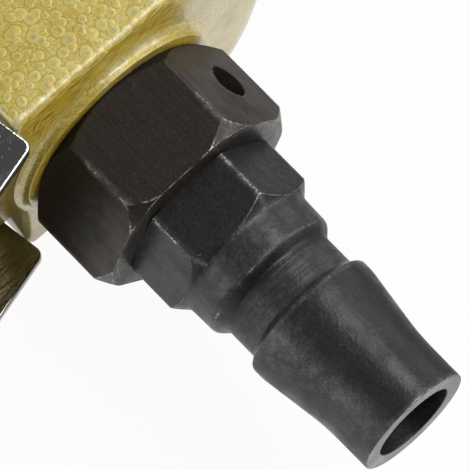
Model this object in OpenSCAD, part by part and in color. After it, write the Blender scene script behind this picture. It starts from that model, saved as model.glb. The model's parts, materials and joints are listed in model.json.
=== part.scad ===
// Straight air drill with a lever throttle, a vane motor, planet gears and a keyed chuck.
// Millimetres. The spindle axis is X, pointing out of the chuck; the lever is on +Y and +Z is up.
// The origin is on the axis at the tips of the jaws, which are set to a small drill bit.
// The tool is laid down on its -Z flats, with the throttle released.

/* [Chuck] */
// How far the jaw tips stand out of the nose
jaw_reach = 3; // [1:0.5:5]
// Length of the chuck body
chuck_len = 43; // [42:0.5:60]
// Radius of the body where the sleeve turns on it
chuck_r = 16; // [15:0.5:20]
// Length of the nose in front of the sleeve
nose_len = 9.5; // [9:0.5:14]
// Chamfer at the front of the nose, along the axis
nose_chamfer = 2.2; // [1:0.1:3]
// Radius of the front face of the nose
nose_face_r = 11; // [9:0.5:14]
// Radius of the bore that the bit's shank passes into
bit_bore_r = 5.25; // [4:0.25:6]
// Depth of that bore from the nose
bit_bore_depth = 27; // [24:0.5:28]
// Angle between a jaw and the spindle axis, in degrees
jaw_angle = 14; // [12:0.5:15]
// Radius of a jaw's round shank
jaw_r = 2.7; // [2.3:0.1:3]
// Length of a jaw along its own axis
jaw_len = 27; // [25:0.5:28]
// Distance of a jaw's axis from the spindle axis at its tip
jaw_tip_offset = 2.6; // [2.4:0.1:3]
// Radius that the jaws grip at rest
grip_r = 2; // [1.8:0.1:2.4]
// Distance of the jaw's wedge point from the spindle axis at rest
jaw_point_r = 1.37; // [1.3:0.01:1.5]
// Travel that opens the jaws from rest to the largest bit, along the jaw
jaw_open_travel = 12.4; // [8:0.1:12.4]
// Pitch of the thread that drives the jaws
jaw_pitch = 2; // [1.5:0.1:2.5]
// Depth of the thread on the jaws' backs
jaw_thread_depth = 0.45; // [0.3:0.05:0.6]
// Length of the threaded nut ring
nut_len = 5.5; // [4:0.5:6]
// Distance from the front of the sleeve to the nut ring
nut_setback = 3; // [2:0.5:4]
// Outer radius of the sleeve
sleeve_r = 18; // [17.5:0.25:18.5]
// Length of the sleeve
sleeve_len = 23.5; // [20:0.5:24]
// Number of bevel teeth that the chuck key turns
sleeve_teeth = 24; // [18:1:30]
// Height of the bevelled ring of teeth
tooth_ring = 3; // [2:0.5:4]
// Depth of the gaps between the teeth
tooth_depth = 1.1; // [0.8:0.1:1.3]
// Radius of the three holes that steady the chuck key
key_hole_r = 2.75; // [2.5:0.05:3]
// Depth of those holes below the body's surface
key_hole_depth = 7; // [5:0.5:7.5]
// Radius of the retaining screw's head
screw_head_r = 4.7; // [4:0.1:5]
// Height of the retaining screw's head
screw_head_h = 3; // [2:0.5:4]
// Radius of the retaining screw's shank
screw_r = 2.45; // [2:0.05:2.6]
// Length of the retaining screw's shank
screw_len = 14; // [10:0.5:15]

/* [Spindle and gears] */
// Gap between the chuck and the gear case
chuck_gap = 1.5; // [1:0.5:3]
// Radius of the spindle's nose inside the chuck
spindle_nose_r = 4.75; // [4.5:0.05:5]
// Length of the spindle's nose
spindle_nose_len = 12; // [11:0.5:12]
// Radius of the collar that the chuck seats on
spindle_collar_r = 8; // [7.5:0.1:8.5]
// Share of the bearings' outer radius that the spindle takes
spindle_share = 0.4286; // [0.4:0.0001:0.46]
// Share of the gear case's radius that the spindle's bearings take
bearing_share = 0.718; // [0.7:0.001:0.74]
// Width of the spindle's bearings
spindle_bearing_w = 8; // [7:0.5:9]
// Length of the spacer between the two bearings
bearing_spacer_len = 6; // [4:0.5:10]
// Wall of that spacer
bearing_spacer_wall = 2; // [1.5:0.25:3]
// Thickness of the snap ring behind the bearings
snap_ring_t = 1.2; // [1:0.1:1.5]
// Depth of the snap ring's groove
snap_ring_depth = 1; // [0.8:0.1:1.2]
// Step from the ring gear's outside in to the planet carrier
carrier_step = 2.75; // [2.65:0.05:3.5]
// Thickness of the planet carrier
carrier_t = 4.7; // [4:0.1:6]
// Thickness of the carrier's rear ring
carrier_ring_t = 2.5; // [2:0.1:3]
// Teeth on the motor pinion
pinion_teeth = 12; // [12:3:12]
// Teeth on each planet
planet_teeth = 15; // [15:3:15]
// Width of the planets
gear_w = 10; // [8:0.5:12]
// Backlash of each gear pair
gear_backlash = 0.15; // [0.12:0.01:0.2]
// Wall of the ring gear behind its teeth
ring_wall = 1.745; // [1.7:0.005:2]
// Radius of the planets' pins
planet_pin_r = 2; // [1.6:0.1:2.4]
// Radius of the pinion's stem inside the rotor
pinion_stem_r = 2.4; // [2:0.1:2.6]
// Length of the pinion's stem
pinion_stem_len = 21; // [18:0.5:26]

/* [Gear case] */
// How much smaller in radius the gear case is than the barrel
case_step = 2; // [1.5:0.1:2.2]
// Length of the gear case that shows
case_len = 40; // [38:0.5:42]
// Lip that holds the spindle's seal
case_lip = 0.8; // [0.6:0.1:1.5]
// Outer radius of the spindle's seal
seal_r = 11; // [10.5:0.1:12]
// Width of the spindle's seal
seal_w = 3.2; // [2.5:0.1:4]
// Wall of the barrel round the gear case's threaded end
spigot_wall = 2.7; // [2.6:0.05:2.9]
// Wall of that threaded end round the ring gear
spigot_t = 1.55; // [1.4:0.05:1.7]
// Length of the tube between the ring gear and the motor
gear_spacer_len = 8.5; // [7:0.5:12]
// Wall of that tube
gear_spacer_wall = 2; // [1.5:0.1:2.2]
// Edge chamfer of the gear case
case_chamfer = 1.2; // [0.5:0.1:1.8]
// Depth of the tool's resting flats in the barrel
rest_cut = 2.5; // [2.3:0.1:2.9]
// Radius of the section of the seal between case and housing
case_seal_r = 0.45; // [0.35:0.05:0.45]

/* [Motor] */
// Wall of the barrel round the motor
barrel_wall = 4.5; // [4.3:0.05:4.7]
// Distance from the front of the block to the back of the motor
motor_set = 6.6; // [5:0.1:8]
// Share of the motor's radius that the cylinder's bore takes
bore_share = 0.765; // [0.76:0.001:0.775]
// Offset of that bore from the rotor's axis
cylinder_offset = 1.3; // [1:0.1:1.5]
// Room between the rotor and the near side of the bore
rotor_gap = 0.3; // [0.2:0.05:1]
// End play of the rotor between the plates
rotor_play = 0.2; // [0.1:0.05:0.3]
// Number of vanes
vane_count = 5; // [4:1:6]
// Thickness of a vane
vane_t = 1.9; // [1.5:0.1:2.2]
// Share of the rotor's radius that a vane takes
vane_share = 0.456; // [0.4:0.001:0.47]
// Thickness of the front end plate
front_plate_t = 10; // [9.5:0.5:12]
// Share of the front bearing's radius that the rotor's shaft takes
front_shaft_share = 0.364; // [0.33:0.001:0.4]
// Share of the motor's radius that the rotor's front bearing takes
front_bearing_share = 0.647; // [0.6:0.001:0.67]
// Width of the rotor's front bearing
rotor_front_bearing_w = 7; // [6:0.5:7.5]
// Thickness of the rear end plate
rear_plate_t = 8; // [7.5:0.5:10]
// Share of the rear bearing's radius that the rotor's shaft takes
rear_shaft_share = 0.316; // [0.28:0.001:0.36]
// Share of the motor's radius that the rotor's rear bearing takes
rear_bearing_share = 0.559; // [0.5:0.001:0.58]
// Width of the rotor's rear bearing
rotor_rear_bearing_w = 6; // [5:0.5:6.5]
// Radius of the dowel that lines up plates and cylinder
dowel_r = 1; // [0.8:0.1:1.2]
// Distance of that dowel in from the outside of the cylinder
dowel_set = 1.8; // [1.5:0.1:2]
// Radius of the air port in the rear end plate
inlet_port_r = 1.2; // [0.8:0.1:1.4]

/* [Housing] */
// Radius of the barrel round the motor
barrel_r = 21.5; // [21:0.1:23]
// Length of the housing, from the gear case to its end face
housing_len = 108.5; // [106:0.5:116]
// Radius of the rear block behind the motor
block_r = 20; // [19:0.1:21]
// Half of the width across the rear block's flanks
block_flank = 14.5; // [14:0.1:16]
// Height of the rear block's flat under the lever
lever_flat = 10.3; // [10:0.1:10.8]
// Share of the housing's length that the block behind the barrel takes
block_share = 0.35; // [0.345:0.001:0.36]
// Length of the slope from the block up to the barrel
block_slope = 8; // [6:0.5:8.5]
// Radius of the raised ring round the inlet
inlet_boss_r = 10.4; // [9.5:0.1:11.5]
// Height of that ring
inlet_boss_h = 1; // [0.6:0.1:1.5]
// Depth of the air space behind the rear end plate
plenum_depth = 1.5; // [1:0.1:2]
// Width of each exhaust slot
exhaust_w = 2.4; // [1.6:0.1:3]
// Length of each exhaust slot
exhaust_len = 13; // [8:0.5:16]
// Share of the cylinder that the row of exhaust slots spans
exhaust_share = 0.53; // [0.45:0.01:0.6]
// Number of exhaust slots
exhaust_count = 4; // [2:1:4]

/* [Inlet bushing] */
// Width across the flats of the bushing's hexagon
bushing_af = 19; // [18:0.5:20]
// Length of that hexagon
bushing_hex_len = 10; // [9:0.5:12]
// Length of the chamfer on its corners
bushing_chamfer = 1.4; // [1:0.1:1.8]
// How far inside the flats the chamfers of both hexagons end
hex_face_set = 0.2; // [0.1:0.05:0.4]
// Roll of a corner of the hexagon, from +Y towards +Z, in degrees
bushing_roll = -7.6; // [-30:0.1:30]
// Radius of the thread in the housing
bushing_thread_r = 6.5; // [6.4:0.05:6.8]
// Length of the thread in the housing
bushing_thread_len = 14; // [11:0.5:15]
// Radius of the air passage
bushing_bore_r = 3.8; // [3:0.1:4]
// Radius of the spanner hole in one flat
spanner_hole_r = 2; // [1.5:0.1:2.4]
// Depth of that hole
spanner_hole_depth = 2.5; // [1.5:0.1:3]
// Distance of that hole from the back of the hexagon
spanner_hole_set = 5; // [4:0.1:6]
// Thickness of the air screen
screen_t = 0.8; // [0.5:0.1:1.5]
// Radius of the air screen
screen_r = 5.4; // [5:0.1:5.8]
// Radius of the holes in the air screen
screen_hole_r = 0.7; // [0.4:0.1:0.8]
// Distance between the rings of holes in the air screen
screen_pitch = 1.7; // [1.5:0.1:2]
// Radius of the section of the seal under the bushing
inlet_seal_r = 0.6; // [0.5:0.05:0.7]

/* [Air plug] */
// Width across the flats of the plug's hexagon
plug_af = 14; // [13.5:0.5:15]
// Length of that hexagon
plug_hex_len = 5.9; // [5:0.1:8]
// Length of the chamfer at its front
plug_chamfer = 0.9; // [0.6:0.1:1.2]
// Roll of a corner of the hexagon, from +Y towards +Z, in degrees
plug_roll = -11.3; // [-30:0.1:30]
// Radius of the thread in the bushing
plug_thread_r = 4.8; // [4.7:0.05:5.2]
// Length of the thread in the bushing
plug_thread_len = 8; // [6:0.5:9]
// Radius of the collar behind the neck
plug_collar_r = 6.75; // [6.5:0.05:6.9]
// Length of the collar
plug_collar_len = 4.6; // [3:0.1:6]
// Radius of the neck that the coupler's balls hold
plug_neck_r = 5.75; // [5.5:0.05:5.9]
// Length of the neck
plug_neck_len = 2.9; // [2:0.1:4]
// Length of the slope from the neck up to the shoulder
plug_shoulder_len = 1; // [0.5:0.1:1.5]
// Radius of the shoulder in front of the neck
plug_head_r = 6.6; // [6.3:0.05:6.8]
// Length of the taper from the shoulder to the tip
plug_taper_len = 8; // [6:0.1:10]
// Radius of the tip
plug_tip_r = 5.6; // [5.3:0.05:5.8]
// Length of the straight tip
plug_tip_len = 4.9; // [3:0.1:7]
// Length of the rounding at the front of the collar
plug_edge = 0.8; // [0.4:0.1:1.2]
// Chamfer at the end of the tip
tip_edge = 0.15; // [0.1:0.05:0.4]
// Radius of the plug's bore
plug_bore_r = 3.9; // [3.2:0.1:4]
// Radius of the passage through the thread
plug_passage_r = 3; // [2.5:0.1:3.4]

/* [Throttle lever] */
// Width of the lever over its two flanges
lever_w = 27.6; // [26:0.1:28]
// Thickness of the lever's sheet
lever_t = 1.2; // [1:0.1:1.5]
// Height of the lever's top when it is pressed
lever_top = 23.5; // [23.4:0.1:25]
// Height of the flanges' lower edge beside the rear block when pressed
lever_edge = 11.8; // [11.4:0.1:12.4]
// Height of the flanges' lower edge beside the barrel when pressed
lever_front_edge = 17.8; // [17.6:0.1:18.5]
// Distance from the housing's end face to the front end of the lever
lever_front = 96; // [80:0.5:100]
// How far the rear end of the lever overhangs the housing's end face
lever_overhang = 2.5; // [1:0.1:4]
// Lean of the lever's rear end
lever_end_lean = 1.3; // [0:0.1:2]
// Outer radius of the bend between top and flange
lever_bend = 2.5; // [1.8:0.1:3.5]
// Radius of the lever's corners
lever_corner = 6; // [3:0.5:10]
// Opening angle of the lever at rest, in degrees
lever_rest = 8.5; // [6:0.1:10]
// Distance of the lever's pin from the housing's end face
lever_pin_set = 7; // [6:0.1:9]
// Height of the lever's pin
lever_pin_y = 15.5; // [15:0.1:16.5]
// Radius of the lever's pin
lever_pin_r = 2; // [1.5:0.1:2.5]
// Radius of the lug round the pin
lug_r = 4.5; // [4:0.1:4.8]

/* [Throttle valve] */
// Distance from the front of the block back to the valve
valve_front = 10; // [9.5:0.1:11]
// Radius of the valve stem
stem_r = 2.5; // [2:0.1:2.8]
// Radius of the stem below its guide
stem_neck_r = 1.4; // [1:0.1:1.6]
// Free gap between the stem and the lever
stem_gap = 0.4; // [0.4:0.05:0.6]
// Outer radius of the guide bush
bush_r = 4.5; // [4:0.1:5]
// Radius of the guide bush's flange
bush_flange_r = 6; // [5.5:0.1:7]
// Thickness of the guide bush's flange
bush_flange_t = 1.7; // [1.2:0.1:2.5]
// Height of the guide bush above its flange
bush_nose = 2.5; // [1.5:0.1:4]
// Depth of the guide bush in the housing
bush_depth = 5.8; // [4:0.1:7]
// Height of the valve's seat
valve_seat_y = -4; // [-5:0.1:-3]
// Radius of the passage through the seat
seat_bore_r = 4; // [3.5:0.1:4.4]
// Radius of the valve chamber under the seat
chamber_r = 6; // [5.8:0.1:6.5]
// Radius of the valve's head
poppet_r = 5.2; // [4.8:0.1:5.4]
// Thickness of the valve's head
poppet_t = 2.6; // [2:0.1:3.5]
// Thickness of the rubber disc on the valve's head
valve_seal_t = 1.2; // [0.8:0.1:1.5]
// Radius of the screwed valve cap
valve_cap_r = 7; // [6.8:0.1:7.5]
// Height of the valve cap's inner face
valve_cap_y = -15.6; // [-16:0.1:-15]
// Height of the valve cap's outer face
valve_cap_face = -18.7; // [-19:0.1:-18]
// Radius of the valve spring, to the middle of its wire
spring_r = 3.6; // [3:0.1:4.4]
// Radius of the valve spring's wire
spring_wire_r = 0.4; // [0.3:0.05:0.5]
// Turns of the valve spring
spring_turns = 4; // [3:0.5:4.5]
// Radius of the air ducts in the housing
duct_r = 3; // [2.5:0.1:3.4]

/* [Fits] */
// Clearance of parts that turn in one another
running_fit = 0.05; // [0.02:0.01:0.1]
// Clearance of parts that slide in one another
sliding_fit = 0.04; // [0.02:0.01:0.05]
// Clearance of parts that are pressed or screwed together
tight_fit = 0.02; // [0.01:0.01:0.05]
// Room between neighbours that mustn't touch
free_gap = 0.3; // [0.2:0.05:0.5]
// Room beside turning gears and carriers
gear_gap = 0.5; // [0.4:0.1:0.8]

/* [Hidden] */
$fn = 64;
cut = 1;
cone_over = 1.3;

// Stations along the axis, from the jaw tips back to the air plug
nose_x = -jaw_reach;
chuck_rear_x = nose_x - chuck_len;
sleeve_front_x = nose_x - nose_len;
sleeve_rear_x = sleeve_front_x - sleeve_len;
nut_front_x = sleeve_front_x - nut_setback;
nut_rear_x = nut_front_x - nut_len;
key_hole_x = sleeve_front_x + 2 * free_gap + key_hole_r;
bit_bore_x = nose_x - bit_bore_depth;
spindle_tip_x = chuck_rear_x + spindle_nose_len;
case_front_x = chuck_rear_x - chuck_gap;
seal_front_x = case_front_x - case_lip;
bearing_front_x = seal_front_x - seal_w;
spacer_front_x = bearing_front_x - spindle_bearing_w;
bearing_rear_x = spacer_front_x - bearing_spacer_len;
snap_ring_x = bearing_rear_x - spindle_bearing_w;
snap_ring_rear_x = snap_ring_x - snap_ring_t;
carrier_x = snap_ring_rear_x - gear_gap;
carrier_rear_x = carrier_x - carrier_t;
gear_x = carrier_rear_x - gear_gap;
gear_rear_x = gear_x - gear_w;
ring_gear_rear_x = gear_rear_x - gear_gap;
carrier_ring_x = ring_gear_rear_x - gear_gap;
carrier_ring_rear_x = carrier_ring_x - carrier_ring_t;
motor_x = ring_gear_rear_x - gear_spacer_len;
cylinder_x = motor_x - front_plate_t;
case_rear_x = case_front_x - case_len;
housing_rear_x = case_rear_x - housing_len;
block_front_x = housing_rear_x + housing_len * block_share;
barrel_rear_x = block_front_x + block_slope;
motor_rear_x = block_front_x + motor_set;
cylinder_rear_x = motor_rear_x + rear_plate_t;
cylinder_len = cylinder_x - cylinder_rear_x;
exhaust_pitch = cylinder_len * exhaust_share / (exhaust_count - 1);
hex_x = housing_rear_x - inlet_boss_h;
plug_x = hex_x - bushing_hex_len;
bushing_front_x = hex_x + bushing_thread_len;
lever_pin_x = housing_rear_x + lever_pin_set;
valve_x = block_front_x - valve_front;

// Radii inside the barrel
case_r = barrel_r - case_step;
case_spigot_r = barrel_r - spigot_wall;
rest_flat = barrel_r - rest_cut;
spindle_bearing_r = case_r * bearing_share;
spindle_r = spindle_bearing_r * spindle_share;
ring_gear_r = case_spigot_r - spigot_t;
carrier_r = ring_gear_r - carrier_step;
motor_r = barrel_r - barrel_wall;
dowel_offset = motor_r - dowel_set;
rotor_front_bearing_r = motor_r * front_bearing_share;
rotor_front_r = rotor_front_bearing_r * front_shaft_share;
rotor_rear_bearing_r = motor_r * rear_bearing_share;
rotor_rear_r = rotor_rear_bearing_r * rear_shaft_share;
cylinder_bore_r = motor_r * bore_share;
rotor_r = cylinder_bore_r - cylinder_offset - rotor_gap;
vane_depth = rotor_r * vane_share;

// Gear sizes
ring_teeth = pinion_teeth + 2 * planet_teeth;
pressure_angle = 20;
tooth_tip = 0.9;
tooth_root = 1.15;
gear_module = (ring_gear_r - ring_wall) / (ring_teeth / 2 + tooth_root);
addendum = tooth_tip * gear_module;
dedendum = tooth_root * gear_module;
planet_centre = gear_module * (pinion_teeth + planet_teeth) / 2;
planet_angles = [90, 210, 330];
flank_steps = 4;

// Lever sizes
lever_under = lever_top - lever_t;
lever_inside = lever_w / 2 - lever_t;
stem_top_y = lever_pin_y
    + (lever_under - lever_pin_y + (valve_x - lever_pin_x) * sin(lever_rest)) / cos(lever_rest) - stem_gap;
lug_half = lever_inside - free_gap;

// Radius of the cone that the backs of the jaws run on
function jaw_back(x) = jaw_tip_offset - x * tan(jaw_angle) + jaw_r / cos(jaw_angle);

// Involute of the pressure angle a, in degrees
function involute(a) = tan(a) * 180 / PI - a;

// Half of a tooth's angle at radius r, for a gear of n teeth that is thinned by play
function half_tooth(n, r, play) =
    let (pitch_r = gear_module * n / 2, base_r = pitch_r * cos(pressure_angle))
    90 / n - play / pitch_r * 90 / PI + involute(pressure_angle)
        - (r > base_r ? involute(acos(base_r / r)) : 0);

// Outline of a gear of n teeth between two radii, with a tooth on the first axis
function gear_points(n, root_r, tip_r, play) = [
    for (tooth = [0 : n - 1], side = [-1, 1], step = [0 : flank_steps])
        let (share = side < 0 ? step / flank_steps : 1 - step / flank_steps)
        let (r = root_r + (tip_r - root_r) * share)
        let (a = tooth * 360 / n + side * half_tooth(n, r, play))
        [r * cos(a), r * sin(a)]
];

// Points of a ring of the spring's wire, at a share of its length
function spring_ring(share, low, high, sides) =
    let (turn = 360 * spring_turns * share, y = low + (high - low) * share)
    [for (i = [0 : sides - 1])
        let (reach = spring_r + spring_wire_r * cos(360 * i / sides))
        [reach * cos(turn), y + spring_wire_r * sin(360 * i / sides), reach * sin(turn)]];

// Straight cylinder on the spindle axis between two stations
module along_x(x0, x1, r) {
    translate([min(x0, x1), 0, 0]) rotate([0, 90, 0]) cylinder(h = abs(x1 - x0), r = r);
}

// Straight cylinder along Y between two heights, at the station of the valve
module along_y(y0, y1, r) {
    translate([valve_x, max(y0, y1), 0]) rotate([90, 0, 0]) cylinder(h = abs(y1 - y0), r = r);
}

// Straight tube on the spindle axis
module tube_x(x0, x1, r_out, r_in) {
    difference() {
        along_x(x0, x1, r_out);
        along_x(min(x0, x1) - cut, max(x0, x1) + cut, r_in);
    }
}

// Profile of [station, radius] points turned about the spindle axis
module turned(profile) {
    rotate([0, 90, 0]) rotate_extrude() polygon([for (p = profile) [p[1], p[0]]]);
}

// Hexagonal bar on the spindle axis, with a corner at an angle from +Y towards +Z
module hex_x(x0, x1, across, corner) {
    rotate([corner + 90, 0, 0]) translate([min(x0, x1), 0, 0]) rotate([0, 90, 0])
        cylinder(h = abs(x1 - x0), r = across / 2 / cos(30), $fn = 6);
}

// Gear of n teeth along the axis, with a tooth towards +Y
module gear_x(x0, x1, n, root_r, tip_r, play) {
    translate([min(x0, x1), 0, 0]) rotate([0, 90, 0]) rotate([0, 0, 90])
        linear_extrude(height = abs(x1 - x0)) polygon(gear_points(n, root_r, tip_r, play));
}

// Round seal ring about the spindle axis
module seal_x(x, ring_r, section_r) {
    translate([x, 0, 0]) rotate([0, 90, 0]) rotate_extrude()
        translate([ring_r, 0]) circle(r = section_r, $fn = 32);
}

// Middle radius between the two races of a bearing
function race_r(outer_r, shaft_r) = (outer_r + shaft_r) / 2;

// Outer race of a shielded bearing, with its front face at a station
module outer_race(x, width, outer_r, shaft_r) {
    tube_x(x, x - width, outer_r, race_r(outer_r, shaft_r) + free_gap / 2);
}

// Inner race of a shielded bearing, pressed on its shaft
module inner_race(x, width, outer_r, shaft_r) {
    tube_x(x, x - width, race_r(outer_r, shaft_r) - free_gap / 2, shaft_r + tight_fit);
}

// Block that stands for everything between the tool's resting flats
module between_flats(x0, x1, half) {
    translate([min(x0, x1), -2 * barrel_r, -half]) cube([abs(x1 - x0), 4 * barrel_r, 2 * half]);
}

// Cast housing: the barrel round the motor and the block behind it with its lever flat, lug and ducts
module housing() {
    color("darkkhaki") difference() {
        union() {
            intersection() {
                turned([
                    [case_rear_x, 0], [case_rear_x, barrel_r - case_chamfer],
                    [case_rear_x - case_chamfer, barrel_r], [barrel_rear_x, barrel_r],
                    [block_front_x, block_r], [housing_rear_x + case_chamfer, block_r],
                    [housing_rear_x, block_r - case_chamfer], [housing_rear_x, 0]
                ]);
                housing_plan();
                housing_side();
            }
            along_x(housing_rear_x + cut, hex_x, inlet_boss_r);
            lever_lug();
        }
        along_x(case_rear_x + cut, motor_x, case_spigot_r + tight_fit);
        along_x(motor_x + cut, motor_rear_x, motor_r + tight_fit);
        along_x(motor_rear_x + cut, motor_rear_x - plenum_depth, cylinder_bore_r);
        along_x(motor_rear_x, valve_x, duct_r);
        along_x(hex_x - cut, bushing_front_x, bushing_thread_r + tight_fit);
        along_x(bushing_front_x - cut, bushing_front_x + screen_t, screen_r + tight_fit);
        seal_x(hex_x, bushing_thread_r + inlet_seal_r + free_gap, inlet_seal_r + tight_fit);
        inlet_duct();
        along_y(2 * barrel_r, lever_flat - bush_depth, bush_r + tight_fit);
        along_y(lever_flat, valve_seat_y - cut, seat_bore_r);
        along_y(valve_seat_y, -2 * barrel_r, chamber_r);
        along_y(valve_cap_y, -2 * barrel_r, valve_cap_r + tight_fit);
        exhaust_slots();
        lever_pin_hole(lug_half + cut, lever_pin_r + tight_fit);
    }
}

// Plan of the housing: the barrel's resting flats step in to the flanks of the block
module housing_plan() {
    rotate([90, 0, 0]) linear_extrude(height = 4 * barrel_r, center = true) polygon([
        [case_rear_x + cut, -rest_flat], [case_rear_x + cut, rest_flat], [barrel_rear_x, rest_flat],
        [block_front_x, block_flank], [housing_rear_x - cut, block_flank],
        [housing_rear_x - cut, -block_flank], [block_front_x, -block_flank], [barrel_rear_x, -rest_flat]
    ]);
}

// Side of the housing: the flat under the lever slopes up to the barrel
module housing_side() {
    linear_extrude(height = 4 * barrel_r, center = true) polygon([
        [case_rear_x + cut, -2 * barrel_r], [case_rear_x + cut, barrel_r + cut],
        [barrel_rear_x + cut, barrel_r + cut], [barrel_rear_x, barrel_r], [block_front_x, lever_flat],
        [housing_rear_x - cut, lever_flat], [housing_rear_x - cut, -2 * barrel_r]
    ]);
}

// Lug on the lever flat that holds the lever's pin
module lever_lug() {
    translate([lever_pin_x, lever_pin_y, -lug_half]) cylinder(h = 2 * lug_half, r = lug_r);
    translate([lever_pin_x - lug_r, lever_flat - cut, -lug_half])
        cube([2 * lug_r, lever_pin_y - lever_flat + cut, 2 * lug_half]);
}

// Hole along the lever's pin, of a half length and a radius
module lever_pin_hole(half, r) {
    translate([lever_pin_x, lever_pin_y, -half]) cylinder(h = 2 * half, r = r);
}

// Duct from the air screen down to the valve chamber
module inlet_duct() {
    run = bushing_front_x + screen_t - valve_x;
    drop = (valve_cap_y + valve_seat_y) / 2;
    translate([valve_x + run, 0, 0]) rotate([0, 0, atan2(drop, -run)]) rotate([0, 90, 0])
        translate([0, 0, -duct_r]) cylinder(h = duct_r + sqrt(run * run + drop * drop), r = duct_r);
}

// Exhaust slots through the barrel, opposite the lever
module exhaust_slots() {
    for (i = [0 : exhaust_count - 1])
        translate([exhaust_station(i) - exhaust_w / 2, -2 * barrel_r, -exhaust_len / 2])
            cube([exhaust_w, 2 * barrel_r - cylinder_bore_r, exhaust_len]);
}

// Station of one exhaust slot, counted about the middle of the cylinder
function exhaust_station(i) = cylinder_x - cylinder_len / 2 + (i - (exhaust_count - 1) / 2) * exhaust_pitch;

// Gear case: the front of the tool, which holds the spindle's bearings and the ring gear
module gear_case() {
    color("darkkhaki") difference() {
        union() {
            intersection() {
                turned([
                    [case_front_x, 0], [case_front_x, case_r - case_chamfer],
                    [case_front_x - case_chamfer, case_r],
                    [case_rear_x, case_r], [case_rear_x, 0]
                ]);
                between_flats(case_front_x + cut, case_rear_x - cut, rest_flat);
            }
            along_x(case_rear_x + cut, motor_x, case_spigot_r);
        }
        along_x(case_front_x + cut, bearing_front_x, spindle_collar_r + free_gap);
        along_x(seal_front_x, bearing_front_x - cut, seal_r + tight_fit);
        along_x(bearing_front_x, gear_x, spindle_bearing_r + tight_fit);
        along_x(snap_ring_x, snap_ring_rear_x, spindle_bearing_r + snap_ring_depth);
        along_x(snap_ring_rear_x - gear_gap / 2, gear_x, carrier_r + gear_gap);
        along_x(gear_x, motor_x - cut, ring_gear_r + tight_fit);
        tube_x(case_seal_x() + case_seal_w(), case_seal_x() - case_seal_w(), barrel_r, case_seal_floor());
    }
}

// Place, half width and floor of the groove for the seal between case and housing
function case_seal_x() = (case_rear_x + motor_x) / 2;
function case_seal_w() = case_seal_r + tight_fit;
function case_seal_floor() = case_spigot_r + tight_fit - 2 * case_seal_r;

// Rubber ring that seals the gear case in the housing
module case_seal() {
    color("dimgray") seal_x(case_seal_x(), case_spigot_r + tight_fit - case_seal_r, case_seal_r);
}

// Felt ring round the spindle's collar
module spindle_seal() {
    color("dimgray") tube_x(seal_front_x, bearing_front_x, seal_r, spindle_collar_r + running_fit);
}

// Outer races of the spindle's two bearings
module spindle_bearing_front() {
    color("silver") outer_race(bearing_front_x, spindle_bearing_w, spindle_bearing_r, spindle_r);
}

module spindle_bearing_rear() {
    color("silver") outer_race(bearing_rear_x, spindle_bearing_w, spindle_bearing_r, spindle_r);
}

// Inner races of the spindle's two bearings
module spindle_race_front() {
    color("silver") inner_race(bearing_front_x, spindle_bearing_w, spindle_bearing_r, spindle_r);
}

module spindle_race_rear() {
    color("silver") inner_race(bearing_rear_x, spindle_bearing_w, spindle_bearing_r, spindle_r);
}

// Tube that keeps the two outer races apart
module bearing_spacer() {
    color("gray")
        tube_x(spacer_front_x, bearing_rear_x, spindle_bearing_r, spindle_bearing_r - bearing_spacer_wall);
}

// Split ring in its groove behind the rear bearing
module bearing_snap_ring() {
    color("dimgray") difference() {
        tube_x(snap_ring_x, snap_ring_rear_x, spindle_bearing_r + snap_ring_depth - tight_fit,
            spindle_bearing_r - bearing_spacer_wall);
        translate([snap_ring_rear_x - cut, 0, -2 * bearing_spacer_wall])
            cube([snap_ring_t + 2 * cut, 2 * spindle_bearing_r, 4 * bearing_spacer_wall]);
    }
}

// Fixed ring gear that the planets roll in
module ring_gear() {
    pitch_r = gear_module * ring_teeth / 2;
    color("slategray") difference() {
        along_x(gear_x, ring_gear_rear_x, ring_gear_r);
        rotate([planet_angles[0], 0, 0])
            gear_x(gear_x + cut, ring_gear_rear_x - cut, ring_teeth, pitch_r - addendum, pitch_r + dedendum,
                -gear_backlash);
    }
}

// Tube that holds the ring gear against its shoulder
module gear_spacer() {
    color("gray") tube_x(ring_gear_rear_x, motor_x, ring_gear_r, ring_gear_r - gear_spacer_wall);
}

// Hole for the dowel through the motor's plates and cylinder
module dowel_hole(x0, x1) {
    translate([0, 0, dowel_offset]) along_x(x0, x1, dowel_r + tight_fit);
}

// Front end plate of the motor, with the seat of the rotor's front bearing
module front_end_plate() {
    color("gray") difference() {
        along_x(motor_x, cylinder_x, motor_r);
        along_x(motor_x + cut, front_seat_x(), rotor_front_bearing_r + tight_fit);
        along_x(motor_x, cylinder_x - cut, rotor_front_r + free_gap);
        dowel_hole(dowel_front_x(), cylinder_x - cut);
    }
}

// Stations of the bearing seats and of the dowel's two ends
function front_seat_x() = cylinder_x + front_plate_t - rotor_front_bearing_w;
function rear_seat_x() = cylinder_rear_x - rear_plate_t + rotor_rear_bearing_w;
function dowel_front_x() = cylinder_x + front_plate_t / 2;
function dowel_rear_x() = cylinder_rear_x - rear_plate_t / 2;

// Bearings of the rotor
module rotor_bearing_front() {
    color("silver") outer_race(motor_x, rotor_front_bearing_w, rotor_front_bearing_r, rotor_front_r);
}

module rotor_bearing_rear() {
    color("silver") outer_race(rear_seat_x(), rotor_rear_bearing_w, rotor_rear_bearing_r, rotor_rear_r);
}

module rotor_race_front() {
    color("silver") inner_race(motor_x, rotor_front_bearing_w, rotor_front_bearing_r, rotor_front_r);
}

module rotor_race_rear() {
    color("silver") inner_race(rear_seat_x(), rotor_rear_bearing_w, rotor_rear_bearing_r, rotor_rear_r);
}

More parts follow.
